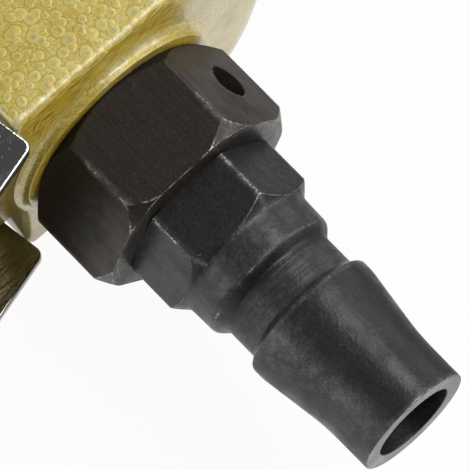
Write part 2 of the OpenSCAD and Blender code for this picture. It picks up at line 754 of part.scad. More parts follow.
// Motor cylinder: its bore is offset so that the vanes sweep a crescent
module motor_cylinder() {
    color("gray") difference() {
        along_x(cylinder_x, cylinder_rear_x, motor_r);
        translate([0, -cylinder_offset, 0]) along_x(cylinder_x + cut, cylinder_rear_x - cut, cylinder_bore_r);
        dowel_hole(cylinder_x + cut, cylinder_rear_x - cut);
        for (i = [0 : exhaust_count - 1])
            translate([exhaust_station(i), 0, 0]) rotate([90, 0, 0])
                cylinder(h = 2 * motor_r, r = exhaust_w / 2);
    }
}

// Dowel that lines up the two plates and the cylinder
module cylinder_dowel() {
    color("silver") translate([0, 0, dowel_offset]) along_x(dowel_front_x(), dowel_rear_x(), dowel_r);
}

// Rear end plate of the motor, with the seat of the rotor's rear bearing and the air port
module rear_end_plate() {
    port_angle = 75;
    port_offset = rotor_r + free_gap;
    color("gray") difference() {
        along_x(cylinder_rear_x, motor_rear_x, motor_r);
        along_x(rear_seat_x(), motor_rear_x - cut, rotor_rear_bearing_r + tight_fit);
        along_x(cylinder_rear_x + cut, motor_rear_x, rotor_rear_r + free_gap);
        dowel_hole(cylinder_rear_x + cut, dowel_rear_x());
        rotate([port_angle, 0, 0]) translate([0, port_offset, 0])
            along_x(cylinder_rear_x + cut, motor_rear_x - cut, inlet_port_r);
    }
}

// Rotor with its two journals, slotted for the vanes
module rotor() {
    color("silver") difference() {
        union() {
            along_x(cylinder_x - rotor_play, cylinder_rear_x + rotor_play, rotor_r);
            along_x(motor_x - rotor_play, cylinder_x - rotor_play - cut, rotor_front_r);
            along_x(cylinder_rear_x + rotor_play + cut, motor_rear_x + rotor_play, rotor_rear_r);
        }
        for (i = [0 : vane_count - 1]) vane_slot(i, vane_t + 2 * running_fit, vane_depth + running_fit, cut);
        along_x(motor_x + cut, gear_rear_x - pinion_stem_len, pinion_stem_r + tight_fit);
    }
}

// Block of one vane or of its slot, which runs out of the rotor by a reach
module vane_slot(i, thickness, depth, reach) {
    length = cylinder_len - 2 * rotor_play;
    rotate([360 * (i + 0.25) / vane_count, 0, 0])
        translate([cylinder_rear_x + rotor_play - reach, rotor_r - depth, -thickness / 2])
            cube([length + 2 * reach, depth + reach, thickness]);
}

// Vanes, drawn in flush with the rotor
module rotor_vanes() {
    color("saddlebrown") intersection() {
        along_x(cylinder_x - rotor_play, cylinder_rear_x + rotor_play, rotor_r);
        union() { for (i = [0 : vane_count - 1]) vane_slot(i, vane_t, vane_depth, 0); }
    }
}

// Pinion in the end of the rotor: the sun gear of the planet set
module rotor_pinion() {
    pitch_r = gear_module * pinion_teeth / 2;
    color("silver") {
        rotate([planet_angles[0], 0, 0])
            gear_x(gear_x, gear_rear_x, pinion_teeth, pitch_r - dedendum, pitch_r + addendum, gear_backlash);
        along_x(gear_rear_x + cut, gear_rear_x - pinion_stem_len, pinion_stem_r);
    }
}

// Planet gear on its own pin
module planet_gear(angle) {
    pitch_r = gear_module * planet_teeth / 2;
    color("silver") rotate([angle, 0, 0]) translate([0, planet_centre, 0]) difference() {
        gear_x(gear_x, gear_rear_x, planet_teeth, pitch_r - dedendum, pitch_r + addendum, gear_backlash);
        along_x(gear_x + cut, gear_rear_x - cut, planet_pin_r + running_fit);
    }
}

module planet_gear_1() { planet_gear(planet_angles[0]); }
module planet_gear_2() { planet_gear(planet_angles[1]); }
module planet_gear_3() { planet_gear(planet_angles[2]); }

// Three bars at the planets' places, from one station to another
module planet_bars(x0, x1, r) {
    for (angle = planet_angles) rotate([angle, 0, 0]) translate([0, planet_centre, 0]) along_x(x0, x1, r);
}

// Pins of the planets
module planet_pins() {
    color("silver") planet_bars(carrier_x - carrier_t / 4, carrier_ring_rear_x, planet_pin_r);
}

// Ring that ties the rear ends of the planets' pins
module carrier_ring() {
    color("slategray") difference() {
        tube_x(
            carrier_ring_x, carrier_ring_rear_x, carrier_r,
            gear_module * pinion_teeth / 2 + addendum + gear_gap
        );
        planet_bars(carrier_ring_x + cut, carrier_ring_rear_x - cut, planet_pin_r + tight_fit);
    }
}

// Spindle: nose for the chuck, collar, bearing journal and planet carrier in one piece
module spindle() {
    color("silver") difference() {
        turned([
            [spindle_tip_x, 0], [spindle_tip_x, spindle_nose_r], [chuck_rear_x, spindle_nose_r],
            [chuck_rear_x, spindle_collar_r], [bearing_front_x, spindle_collar_r],
            [bearing_front_x, spindle_r],
            [carrier_x, spindle_r], [carrier_x, carrier_r], [carrier_rear_x, carrier_r], [carrier_rear_x, 0]
        ]);
        planet_bars(carrier_x - carrier_t / 4, carrier_rear_x - cut, planet_pin_r + tight_fit);
        along_x(spindle_tip_x + cut, screw_end_x() - tight_fit, screw_r + tight_fit);
    }
}

// Stations of the retaining screw's seat and end
function screw_end_x() = bit_bore_x - screw_len;

// Body of the chuck: three slanting jaw holes, the nut's groove and three key holes
module chuck_body() {
    groove_r = jaw_back(nut_front_x) - free_gap / 2;
    rear_r = spindle_collar_r + 2 * case_chamfer;
    color("silver") difference() {
        turned([
            [nose_x, 0], [nose_x, nose_face_r], [nose_x - nose_chamfer, chuck_r - free_gap],
            [sleeve_front_x + free_gap, chuck_r - free_gap], [sleeve_front_x + free_gap, chuck_r],
            [sleeve_rear_x - free_gap, chuck_r], [chuck_rear_x, rear_r], [chuck_rear_x, 0]
        ]);
        tube_x(nut_front_x + sliding_fit, nut_rear_x - sliding_fit, 2 * chuck_r, groove_r);
        along_x(nose_x + cut, bit_bore_x, bit_bore_r);
        along_x(bit_bore_x + cut, chuck_rear_x, screw_r + free_gap);
        along_x(spindle_tip_x + free_gap, chuck_rear_x - cut, spindle_nose_r + tight_fit);
        for (angle = planet_angles) {
            jaw_bar(angle, jaw_r + sliding_fit, jaw_len + jaw_open_travel + free_gap);
            rotate([angle + 60, 0, 0]) translate([key_hole_x, chuck_r + cut, 0]) rotate([90, 0, 0])
                cylinder(h = key_hole_depth + cut, r = key_hole_r);
        }
    }
}

// Round bar on the axis of one jaw, from in front of its tip to a length behind it
module jaw_bar(angle, r, length) {
    rotate([angle, 0, 0]) jaw_frame() translate([0, 0, -2 * jaw_reach])
        cylinder(h = length + 2 * jaw_reach, r = r);
}

// Frame of a jaw: its own axis runs back and outwards from its tip
module jaw_frame() {
    translate([0, jaw_tip_offset, 0]) rotate([0, 0, 180 - jaw_angle]) rotate([0, 90, 0]) children();
}

// Hardened jaw: a slanting round bar with a wedge front, a round grip and a thread on its back
module chuck_jaw(angle) {
    reach = 2 * chuck_r;
    side = reach * tan(60);
    thread_count = floor((jaw_len - jaw_reach) / jaw_pitch) - 1;
    color("dimgray") rotate([angle, 0, 0]) difference() {
        intersection() {
            jaw_bar(0, jaw_r, jaw_len);
            translate([-reach - jaw_len, -reach, -reach]) cube([reach + jaw_len, 2 * reach, 2 * reach]);
            rotate([0, 90, 0]) linear_extrude(height = 4 * jaw_len, center = true)
                polygon([[0, jaw_point_r], [side, jaw_point_r + reach], [-side, jaw_point_r + reach]]);
        }
        along_x(cut, -jaw_len, grip_r);
        jaw_frame() for (i = [1 : thread_count])
            translate([-jaw_r, -jaw_r - cut, jaw_len - i * jaw_pitch])
                cube([2 * jaw_r, jaw_thread_depth + cut, jaw_pitch / 2]);
    }
}

module chuck_jaw_1() { chuck_jaw(planet_angles[0]); }
module chuck_jaw_2() { chuck_jaw(planet_angles[1]); }
module chuck_jaw_3() { chuck_jaw(planet_angles[2]); }

// Screw in the bottom of the bit bore that keeps the chuck on the spindle
module chuck_screw() {
    slot_w = screw_r / 2;
    color("dimgray") difference() {
        union() {
            along_x(bit_bore_x, bit_bore_x + screw_head_h, screw_head_r);
            along_x(bit_bore_x + cut, screw_end_x(), screw_r);
        }
        translate([bit_bore_x + screw_head_h / 2, -2 * screw_head_r, -slot_w / 2])
            cube([screw_head_h, 4 * screw_head_r, slot_w]);
    }
}

// Sleeve with the ring of bevel teeth that the key turns
module chuck_sleeve() {
    bevel_r = chuck_r + running_fit + free_gap;
    bevel_angle = atan2(sleeve_r - bevel_r, tooth_ring);
    groove_side = tooth_depth * sqrt(2);
    run_out = 2 * tooth_depth / tan(bevel_angle);
    color("silver") difference() {
        turned([
            [sleeve_front_x, 0], [sleeve_front_x, bevel_r], [sleeve_front_x - tooth_ring, sleeve_r],
            [sleeve_rear_x + case_chamfer, sleeve_r], [sleeve_rear_x, sleeve_r - case_chamfer],
            [sleeve_rear_x, 0]
        ]);
        along_x(sleeve_front_x + cut, sleeve_rear_x - cut, chuck_r + running_fit);
        for (i = [0 : sleeve_teeth - 1])
            rotate([360 * (i + 0.5) / sleeve_teeth, 0, 0]) translate([sleeve_front_x, bevel_r, 0])
                rotate([0, 0, 180 - bevel_angle]) rotate([45, 0, 0])
                    translate([-run_out, -groove_side / 2, -groove_side / 2])
                        cube([tooth_ring / cos(bevel_angle) + 2 * run_out, groove_side, groove_side]);
    }
}

// Nut ring pressed into the sleeve: its tapered thread drives the three jaws
module chuck_nut() {
    color("dimgray") turned([
        [nut_front_x, jaw_back(nut_front_x) + free_gap], [nut_front_x, chuck_r + running_fit - tight_fit],
        [nut_rear_x, chuck_r + running_fit - tight_fit], [nut_rear_x, jaw_back(nut_rear_x) + free_gap]
    ]);
}

// Inlet bushing: the large hexagon screwed into the end of the housing
module inlet_bushing() {
    face_r = bushing_af / 2 - hex_face_set;
    cone_len = bushing_chamfer * cone_over;
    cone_r = face_r + (bushing_af / 2 / cos(30) - face_r) * cone_over;
    color("darkslategray") difference() {
        union() {
            intersection() {
                hex_x(hex_x, plug_x, bushing_af, bushing_roll);
                turned([
                    [hex_x, 0], [hex_x, face_r], [hex_x - cone_len, cone_r],
                    [plug_x + cone_len, cone_r], [plug_x, face_r], [plug_x, 0]
                ]);
            }
            along_x(hex_x - cut, bushing_front_x, bushing_thread_r);
        }
        along_x(plug_x - cut, bushing_front_x + cut, bushing_bore_r);
        along_x(plug_x - cut, plug_x + plug_thread_len, plug_thread_r + tight_fit);
        rotate([bushing_roll + 150, 0, 0]) translate([hex_x - spanner_hole_set, bushing_af / 2 + cut, 0])
            rotate([90, 0, 0]) cylinder(h = spanner_hole_depth + cut, r = spanner_hole_r);
    }
}

// Rubber ring under the bushing's hexagon
module inlet_seal() {
    color("dimgray") intersection() {
        seal_x(hex_x, bushing_thread_r + inlet_seal_r + free_gap, inlet_seal_r);
        along_x(hex_x, bushing_front_x, inlet_boss_r);
    }
}

// Perforated disc that keeps dirt out of the valve
module inlet_screen() {
    ring_holes = 6;
    color("silver") difference() {
        along_x(bushing_front_x, bushing_front_x + screen_t, screen_r);
        along_x(bushing_front_x - cut, bushing_front_x + screen_t + cut, screen_hole_r);
        for (ring = [1, 2], i = [0 : ring_holes * ring - 1])
            rotate([360 * i / (ring_holes * ring), 0, 0]) translate([0, ring * screen_pitch, 0])
                along_x(bushing_front_x - cut, bushing_front_x + screen_t + cut, screen_hole_r);
    }
}

// Quick-release plug: hexagon, collar, neck for the coupler's balls, and a tapered tip
module air_plug() {
    face_r = plug_af / 2 - hex_face_set;
    cone_r = face_r + (plug_af / 2 / cos(30) - face_r) * cone_over;
    collar_x = plug_x - plug_hex_len;
    neck_x = collar_x - plug_collar_len;
    head_x = neck_x - plug_neck_len;
    shoulder_x = head_x - plug_shoulder_len;
    tip_x = shoulder_x - plug_taper_len;
    end_x = tip_x - plug_tip_len;
    color("dimgray") difference() {
        union() {
            intersection() {
                hex_x(plug_x, collar_x, plug_af, plug_roll);
                turned([
                    [plug_x, 0], [plug_x, cone_r], [collar_x + plug_chamfer * cone_over, cone_r],
                    [collar_x, face_r], [collar_x, 0]
                ]);
            }
            turned([
                [plug_x + plug_thread_len, 0], [plug_x + plug_thread_len, plug_thread_r],
                [plug_x, plug_thread_r],
                [plug_x, plug_neck_r], [collar_x, plug_neck_r], [collar_x, plug_collar_r],
                [neck_x + plug_edge, plug_collar_r], [neck_x, plug_neck_r], [head_x, plug_neck_r],
                [shoulder_x, plug_head_r], [tip_x, plug_tip_r], [end_x + tip_edge, plug_tip_r],
                [end_x, plug_tip_r - tip_edge], [end_x, 0]
            ]);
        }
        along_x(end_x - cut, plug_x, plug_bore_r);
        along_x(plug_x - cut, plug_x + plug_thread_len + cut, plug_passage_r);
    }
}

// Pin that the lever swings on, pressed into the lug
module lever_pin() {
    color("silver") lever_pin_hole(lever_w / 2, lever_pin_r);
}

// Bent sheet lever, drawn pressed and then swung open about its pin
module throttle_lever() {
    rear_x = housing_rear_x - lever_overhang;
    front_x = housing_rear_x + lever_front;
    step_x = block_front_x - free_gap;
    color("silver") translate([lever_pin_x, lever_pin_y, 0]) rotate([0, 0, lever_rest])
        translate([-lever_pin_x, -lever_pin_y, 0]) difference() {
            intersection() {
                channel(rear_x - lever_end_lean, front_x, lever_w / 2, lever_top, lever_bend);
                linear_extrude(height = 2 * lever_w, center = true) polygon([
                    [rear_x, lever_edge], [step_x - lever_corner, lever_edge], [step_x, lever_front_edge],
                    [front_x, lever_front_edge], [front_x, lever_top], [rear_x - lever_end_lean, lever_top]
                ]);
                lever_plan(rear_x - lever_end_lean, front_x);
            }
            channel(rear_x - lever_corner, front_x + cut, lever_inside, lever_under, lever_bend - lever_t);
            lever_pin_hole(lever_w, lever_pin_r + running_fit);
        }
}

// Bar under a rounded top, as wide as the outside or the inside of the lever
module channel(x0, x1, half, top, bend) {
    translate([x0, 0, -half]) cube([x1 - x0, top - bend, 2 * half]);
    translate([x0, 0, -half + bend]) cube([x1 - x0, top, 2 * (half - bend)]);
    for (side = [-1, 1])
        translate([0, top - bend, side * (half - bend)]) along_x(x0, x1, bend);
}

// Plan of the lever, with its two front corners rounded
module lever_plan(x0, x1) {
    rotate([90, 0, 0]) linear_extrude(height = 4 * lever_top, center = true) union() {
        translate([x0, -lever_w / 2]) square([x1 - x0 - lever_corner, lever_w]);
        translate([x0, lever_corner - lever_w / 2]) square([x1 - x0, lever_w - 2 * lever_corner]);
        for (side = [-1, 1])
            translate([x1 - lever_corner, side * (lever_w / 2 - lever_corner)]) circle(r = lever_corner);
    }
}

// Guide bush of the valve stem, screwed into the lever flat
module valve_bush() {
    color("silver") difference() {
        union() {
            along_y(lever_flat - bush_depth, lever_flat + bush_flange_t + bush_nose, bush_r);
            along_y(lever_flat, lever_flat + bush_flange_t, bush_flange_r);
        }
        along_y(
            lever_flat - bush_depth - cut, lever_flat + bush_flange_t + bush_nose + cut,
            stem_r + sliding_fit
        );
    }
}

// Valve stem with its head, pushed down by the lever
module valve_stem() {
    dome = 0.6;
    seal_y = valve_seat_y - sliding_fit - valve_seal_t;
    color("silver") translate([valve_x, 0, 0]) rotate([-90, 0, 0]) rotate_extrude() polygon([
        [0, seal_y - poppet_t], [poppet_r, seal_y - poppet_t], [poppet_r, seal_y], [stem_neck_r, seal_y],
        [stem_neck_r, lever_flat - bush_depth], [stem_r, lever_flat - bush_depth + dome],
        [stem_r, stem_top_y - dome], [stem_r / 2, stem_top_y], [0, stem_top_y]
    ]);
}

// Rubber disc on the valve's head, which closes the seat
module valve_seal() {
    seal_y = valve_seat_y - sliding_fit;
    color("dimgray") difference() {
        along_y(seal_y, seal_y - valve_seal_t, poppet_r);
        along_y(seal_y + cut, seal_y - valve_seal_t - cut, stem_neck_r + tight_fit);
    }
}

// Wound spring under the valve's head
module valve_spring() {
    sides = 6;
    rings = ceil(8 * spring_turns);
    low = valve_cap_y + spring_wire_r + tight_fit;
    high = valve_seat_y - sliding_fit - valve_seal_t - poppet_t - spring_wire_r - tight_fit;
    points = [for (k = [0 : rings]) each spring_ring(k / rings, low, high, sides)];
    walls = [for (k = [0 : rings - 1], i = [0 : sides - 1], half = [0, 1])
        let (a = k * sides + i, b = k * sides + (i + 1) % sides)
        half == 0 ? [a, b, b + sides] : [a, b + sides, a + sides]];
    caps = [for (i = [1 : sides - 2], end = [0, 1])
        end == 0 ? [0, i + 1, i] : [rings * sides, rings * sides + i, rings * sides + i + 1]];
    color("silver") translate([valve_x, 0, 0]) polyhedron(points = points, faces = concat(walls, caps));
}

// Screwed cap under the valve, with a driver slot
module valve_cap() {
    slot_w = 1.6;
    slot_depth = 1.2;
    color("gray") difference() {
        along_y(valve_cap_y, valve_cap_face, valve_cap_r);
        translate([valve_x - slot_w / 2, valve_cap_face - cut, -valve_cap_r - cut])
            cube([slot_w, slot_depth + cut, 2 * valve_cap_r + 2 * cut]);
    }
}

housing();
gear_case();
case_seal();
spindle_seal();
spindle_bearing_front();
spindle_bearing_rear();
bearing_spacer();
bearing_snap_ring();
ring_gear();
gear_spacer();
front_end_plate();
rotor_bearing_front();
motor_cylinder();
cylinder_dowel();
rear_end_plate();
rotor_bearing_rear();
inlet_bushing();
inlet_seal();
inlet_screen();
air_plug();
lever_pin();
valve_bush();
valve_cap();
valve_spring();
throttle_lever();
valve_stem();
valve_seal();
spindle();
spindle_race_front();
spindle_race_rear();
planet_pins();
carrier_ring();
planet_gear_1();
planet_gear_2();
planet_gear_3();
rotor();
rotor_race_front();
rotor_race_rear();
rotor_vanes();
rotor_pinion();
chuck_body();
chuck_screw();
chuck_sleeve();
chuck_nut();
chuck_jaw_1();
chuck_jaw_2();
chuck_jaw_3();
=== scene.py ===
import json
import bpy
import numpy as np
from mathutils import Matrix, Vector


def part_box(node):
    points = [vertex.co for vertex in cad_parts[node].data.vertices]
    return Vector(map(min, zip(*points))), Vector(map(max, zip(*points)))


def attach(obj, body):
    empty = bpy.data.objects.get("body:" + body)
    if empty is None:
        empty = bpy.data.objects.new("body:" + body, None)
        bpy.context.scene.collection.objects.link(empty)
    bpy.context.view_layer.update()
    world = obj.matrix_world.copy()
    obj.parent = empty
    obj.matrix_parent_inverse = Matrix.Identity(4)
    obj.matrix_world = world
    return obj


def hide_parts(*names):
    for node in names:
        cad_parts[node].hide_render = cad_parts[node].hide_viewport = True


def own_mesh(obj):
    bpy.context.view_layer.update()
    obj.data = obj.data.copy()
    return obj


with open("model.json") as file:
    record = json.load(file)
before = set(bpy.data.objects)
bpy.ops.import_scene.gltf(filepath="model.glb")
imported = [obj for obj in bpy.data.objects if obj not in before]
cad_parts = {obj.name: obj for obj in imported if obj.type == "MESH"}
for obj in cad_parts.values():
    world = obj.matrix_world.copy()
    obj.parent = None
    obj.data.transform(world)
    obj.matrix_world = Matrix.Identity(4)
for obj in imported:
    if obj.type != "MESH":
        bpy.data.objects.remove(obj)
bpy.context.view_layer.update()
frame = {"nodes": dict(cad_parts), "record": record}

# Camera
# The photograph looks down past the air plug at the inlet end, from above and behind, through a long lens.
# Its place, turn and lens come from a fit to the corners of the two hexagons and the round end of the plug.
mm = 0.001
camera_place = Vector((-325.9, 104.1, 418.6)) * mm
picture_right = Vector((-0.67872, -0.73439, -0.00228))
picture_up = Vector((0.68818, -0.63709, 0.34715))
camera_lens = bpy.data.cameras.new("photo_camera")
camera_lens.sensor_width = 36
camera_lens.lens = 396.3
camera_lens.clip_start = 0.01
camera_lens.clip_end = 20
camera = bpy.data.objects.new("photo_camera", camera_lens)
camera_turn = Matrix((picture_right, picture_up, picture_right.cross(picture_up))).transposed()
camera.matrix_world = Matrix.Translation(camera_place) @ camera_turn.to_4x4()
bpy.context.scene.collection.objects.link(camera)
bpy.context.scene.camera = camera
bpy.context.scene.view_settings.view_transform = "Standard"


# Floor and studio light
# White paper under the resting flats, a long soft box on the right and smaller ones on the other sides.
# The eye sees white all round. Polished pieces also mirror the dark room behind the camera, and the paper in
# their reflections is dimmed past the tool's -Y side, a painted shade.
def feed(socket, value):
    """Joins another node's socket to a socket, or sets a plain value on it."""
    if isinstance(value, bpy.types.NodeSocket):
        socket.id_data.links.new(value, socket)
    else:
        socket.default_value = value


def set_inputs(node, **inputs):
    """Feeds sockets of a node by name, with _ for a space."""
    for name, value in inputs.items():
        feed(node.inputs[name.replace("_", " ")], value)


def add_node(tree, kind, settings=None, **inputs):
    """A shader node. Settings are its own choices, and inputs what its sockets are fed."""
    made = tree.nodes.new(kind)
    for name, value in (settings or {}).items():
        setattr(made, name, value)
    set_inputs(made, **inputs)
    return made


def calculate(operation, *values, kind="ShaderNodeMath", result="Value"):
    """One step of arithmetic on sockets and plain values, in the tree of the first socket among them."""
    tree = next(value.id_data for value in values if isinstance(value, bpy.types.NodeSocket))
    made = add_node(tree, kind, {"operation": operation})
    for socket, value in zip(made.inputs, values):
        feed(socket, value)
    return made.outputs[result]


def vector_step(operation, *values):
    """One step of arithmetic on places or headings. A dot product gives a number, all else a vector."""
    result = "Value" if operation == "DOT_PRODUCT" else "Vector"
    return calculate(operation, *values, kind="ShaderNodeVectorMath", result=result)


def product(first, second):
    """One socket or number times another."""
    return calculate("MULTIPLY", first, second)


def total(first, second):
    """One socket or number plus another."""
    return calculate("ADD", first, second)


def ramp(value, low, high, start=0.0, end=1.0):
    """Rises smoothly from start, where the value is at low, to end, where it is at high."""
    return add_node(
        value.id_data, "ShaderNodeMapRange", {"interpolation_type": "SMOOTHSTEP"},
        Value=value, From_Min=low, From_Max=high, To_Min=start, To_Max=end,
    ).outputs[0]


def ray_kinds(tree):
    """Whether a ray comes straight from the eye, and whether it comes by way of polished metal or glass."""
    path = add_node(tree, "ShaderNodeLightPath")
    mirrored = calculate("MAXIMUM", path.outputs["Is Glossy Ray"], path.outputs["Is Transmission Ray"])
    return path.outputs["Is Camera Ray"], mirrored


def cleared_tree(holder):
    """The emptied node tree of a material or of the world."""
    holder.use_nodes = True
    holder.node_tree.nodes.clear()
    return holder.node_tree


floor_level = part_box("housing")[0].z
floor_reach = 4.0
paper_end_way = (-0.76, 0.66, 0.0)
floor_shade_way = (-0.5, -0.87, 0.0)
floor_paper = bpy.data.materials.new("floor_paper")
tree = cleared_tree(floor_paper)
paper_grain = add_node(tree, "ShaderNodeTexNoise", Scale=900.0, Detail=3.0)
paper_tone = add_node(tree, "ShaderNodeMapRange", Value=paper_grain.outputs["Fac"], To_Min=0.84, To_Max=0.9)
paper_place = add_node(tree, "ShaderNodeTexCoord").outputs["Object"]
# Painted shade: for mirrored rays the paper glows fully near the tool, at about a fifth past the tool's -Y
# side in place of its shadow there, and fades out far away towards the dark wall.
mirrored_paper_with_shade = product(
    ramp(vector_step("DOT_PRODUCT", paper_place, paper_end_way), 0.25, 0.33, 1.0, 0.0),
    ramp(vector_step("DOT_PRODUCT", paper_place, floor_shade_way), 0.117, 0.147, 1.0, 0.22),
)
eye, mirrored = ray_kinds(tree)
paper_share = total(product(eye, 0.94), product(mirrored, ramp(mirrored_paper_with_shade, 0.0, 1.0, 1.0, 0.75)))
paper_glow = total(eye, product(mirrored, mirrored_paper_with_shade))
paper_matte = add_node(tree, "ShaderNodeBsdfDiffuse", Color=paper_tone.outputs[0])
paper_white = add_node(tree, "ShaderNodeEmission", Strength=paper_glow)
paper_mix = tree.nodes.new("ShaderNodeMixShader")
for socket, value in zip(paper_mix.inputs, (paper_share, paper_matte.outputs[0], paper_white.outputs[0])):
    feed(socket, value)
add_node(tree, "ShaderNodeOutputMaterial", Surface=paper_mix.outputs[0])
floor_mesh = bpy.data.meshes.new("floor")
floor_corners = np.array([(-1, -1), (1, -1), (1, 1), (-1, 1)]) * floor_reach
floor_mesh.from_pydata([(x, y, floor_level) for x, y in floor_corners], [], [(0, 1, 2, 3)])
floor_mesh.materials.append(floor_paper)
floor = bpy.data.objects.new("floor", floor_mesh)
bpy.context.scene.collection.objects.link(floor)

dark_wall_way = (-0.85, 0.53, 0.0)
ceiling_way = (0.0, 0.0, 1.0)
room = bpy.data.worlds.new("white_room")
tree = cleared_tree(room)
heading = add_node(tree, "ShaderNodeTexCoord").outputs["Generated"]
eye, mirrored = ray_kinds(tree)
walls = ramp(vector_step("DOT_PRODUCT", heading, dark_wall_way), 0.35, 0.75, 1.0, 0.05)
ceiling = ramp(vector_step("DOT_PRODUCT", heading, ceiling_way), 0.3, 0.7, 1.0, 0.07)
room_shown = product(mirrored, product(walls, ceiling))
room_light = ramp(calculate("MAXIMUM", eye, mirrored), 0.0, 1.0, 0.35, 0.0)
room_level = total(total(eye, room_shown), room_light)
room_white = add_node(tree, "ShaderNodeBackground", Color=(1.0, 1.0, 1.0, 1.0), Strength=room_level)
add_node(tree, "ShaderNodeOutputWorld", Surface=room_white.outputs[0])
bpy.context.scene.world = room

soft_boxes = {
    "soft_box_long": ((-0.29, -0.47, 0.86), 0.9, 0.35, 4.4),
    "soft_box_over": ((-0.78, -0.25, 0.9), 0.5, 0.36, 1.9),
    "soft_box_behind": ((-0.65, -0.75, 0.45), 0.5, 0.5, 2.0),
    "soft_box_left": ((0.05, 0.85, 0.3), 0.5, 0.5, 1.3),
}
light_aim = Vector((-0.19, 0.0, 0.0))
for name, (place, width, height, watts) in soft_boxes.items():
    lamp = bpy.data.lights.new(name, "AREA")
    lamp.shape = "RECTANGLE"
    lamp.size = width
    lamp.size_y = height
    lamp.energy = watts
    holder = bpy.data.objects.new(name, lamp)
    holder.location = place
    holder.rotation_euler = (light_aim - Vector(place)).to_track_quat("-Z", "Y").to_euler()
    holder.visible_camera = False
    bpy.context.scene.collection.objects.link(holder)


# Housing
# Cast aluminium: a round barrel over the motor, then a block with flat flanks and a flat for the lever.
# It is coated in gold hammered enamel, which draws thin on the rounded edges, where its cream is partly a
# painted highlight. Painted highlight streaks the inlet boss's shoulder, and painted shade and painted sheen
# lie on the end face and boss.
def smooth_min(first, second, rounding):
    """The smaller of two lengths, with their crossing rounded off: where they differ by less than rounding,
    a parabola joins the two."""
    share = np.clip(0.5 + 0.5 * (second - first) / rounding, 0, 1)
    return second * (1 - share) + first * share - rounding * share * (1 - share)


def eased(value, low, high):
    """Goes from 0, where the value is at low, to 1, where it is at high, gently at both ends."""
    share = np.clip((value - low) / (high - low), 0, 1)
    return share * share * (3 - 2 * share)


def bell(value, middle, width, power=2):
    """1 where the value is at the middle, 1/e a width away from it. A higher power gives a flatter top."""
    return np.exp(-((value - middle) / width) ** power)


def flat_radius(angle, facing, distance):
    """How far from the axis a ray at an angle meets a flat that faces another angle: the flat's distance over
    the cosine between the two, and very far where the ray turns away from it."""
    lean = np.cos(angle - facing)
    return np.where(lean > 0.05, distance / np.maximum(lean, 0.05), distance * 20)


def between_flats(angle, distance):
    """How far from the axis a ray at an angle meets the nearer of two flats that face +Z and -Z."""
    return np.minimum(flat_radius(angle, np.pi / 2, distance), flat_radius(angle, -np.pi / 2, distance))


def round_body(station, radius, angle):
    """Points (x, radius cos angle, radius sin angle), with the angle counted from +Y towards +Z."""
    return np.stack(np.broadcast_arrays(station, radius * np.cos(angle), radius * np.sin(angle)), axis=-1)


def closed_mesh(name, places, faces, marks, creased):
    """A closed surface of four-cornered faces on places in millimetres. All faces are turned over where the
    volume, the sum of each corner dotted with the cross products of the next ones, comes out negative. Marks
    are values kept at each point for the materials, and a face on a creased point is drawn flat."""
    places = places * mm
    a, b, c, d = (places[faces[:, k]] for k in range(4))
    if np.sum(a * (np.cross(b, c) + np.cross(c, d))) < 0:
        faces = faces[:, ::-1]
    mesh = bpy.data.meshes.new(name)
    mesh.from_pydata(places.tolist(), [], faces.tolist())
    mesh.polygons.foreach_set("use_smooth", ~creased[faces].any(axis=1))
    for mark, values in marks.items():
        held = mesh.attributes.new(mark, "FLOAT", "POINT")
        held.data.foreach_set("value", values.astype(np.float32))
    made = bpy.data.objects.new(name, mesh)
    bpy.context.scene.collection.objects.link(made)
    return made


def skin(name, points, marks=None, creased=False):
    """A closed surface from a grid of points in millimetres: rows follow a closed profile, columns run round
    the axis, and each cell of the grid is a face."""
    grid = points.shape[:2]
    here = np.arange(grid[0] * grid[1]).reshape(grid)
    beside = np.roll(here, -1, axis=1)
    faces = np.stack([here, beside, np.roll(beside, -1, axis=0), np.roll(here, -1, axis=0)], axis=-1)
    spread = {mark: np.broadcast_to(values, grid).ravel() for mark, values in (marks or {}).items()}
    flat = np.broadcast_to(creased, grid).ravel()
    return closed_mesh(name, points.reshape(-1, 3), faces.reshape(-1, 4), spread, flat)


barrel_front_x = -87.5
barrel_rear_x = -150.0
block_front_x = -158.0
housing_rear_x = -196.0
hex_back_x = -197.0
barrel_r = 21.5
barrel_clear = 23.0
block_r = 20.0
rest_flat = 19.0
block_flank = 14.5
lever_flat = 10.3
flat_end_round = 0.85
bar_end_round = 3.8
bar_end_blend = 4.0
front_round = 0.9
boss_r = 10.5
boss_foot_r = 11.45
boss_foot_height = 0.62
boss_lip_round = 0.12
inlet_bore_r = 7.0
inlet_bore_front_x = -183.0
motor_bore_r = 18.0
motor_rear_x = -151.4
slot_count = 4
slot_middle_x = -126.4
slot_pitch = 6.0
slot_width = 2.4
slot_half_length = 6.5
slot_floor_r = 18.3
row_pitch = 0.8

slot_centres = slot_middle_x + slot_pitch * (np.arange(slot_count) - (slot_count - 1) / 2)
slot_edges = np.sort(np.concatenate([slot_centres - slot_width / 2, slot_centres + slot_width / 2]))
slot_rows = (slot_edges[:, None] + np.array([-0.35, -0.12, 0.0, 0.12, 0.35])).ravel()
body_rows = np.sort(np.concatenate([
    np.arange(housing_rear_x + bar_end_round + 0.3, barrel_front_x - front_round, row_pitch), slot_rows,
]))[::-1]
around = np.linspace(0, 2 * np.pi, 300, endpoint=False)
arc = np.linspace(0, np.pi / 2, 9)
nearest_flat = np.minimum(between_flats(around, block_flank), flat_radius(around, 0.0, lever_flat))
on_bar = eased(nearest_flat, block_r, block_r + bar_end_blend)
end_round = flat_end_round + (bar_end_round - flat_end_round) * on_bar
front_x = barrel_front_x - front_round * (1 - np.cos(arc))
front_inset = front_round * (1 - np.sin(arc))
end_x = housing_rear_x + end_round[None, :] * (1 - np.sin(arc))[:, None]
end_inset = end_round[None, :] * (1 - np.cos(arc))[:, None]
body_x = np.repeat(np.concatenate([front_x, body_rows])[:, None], len(around), axis=1)
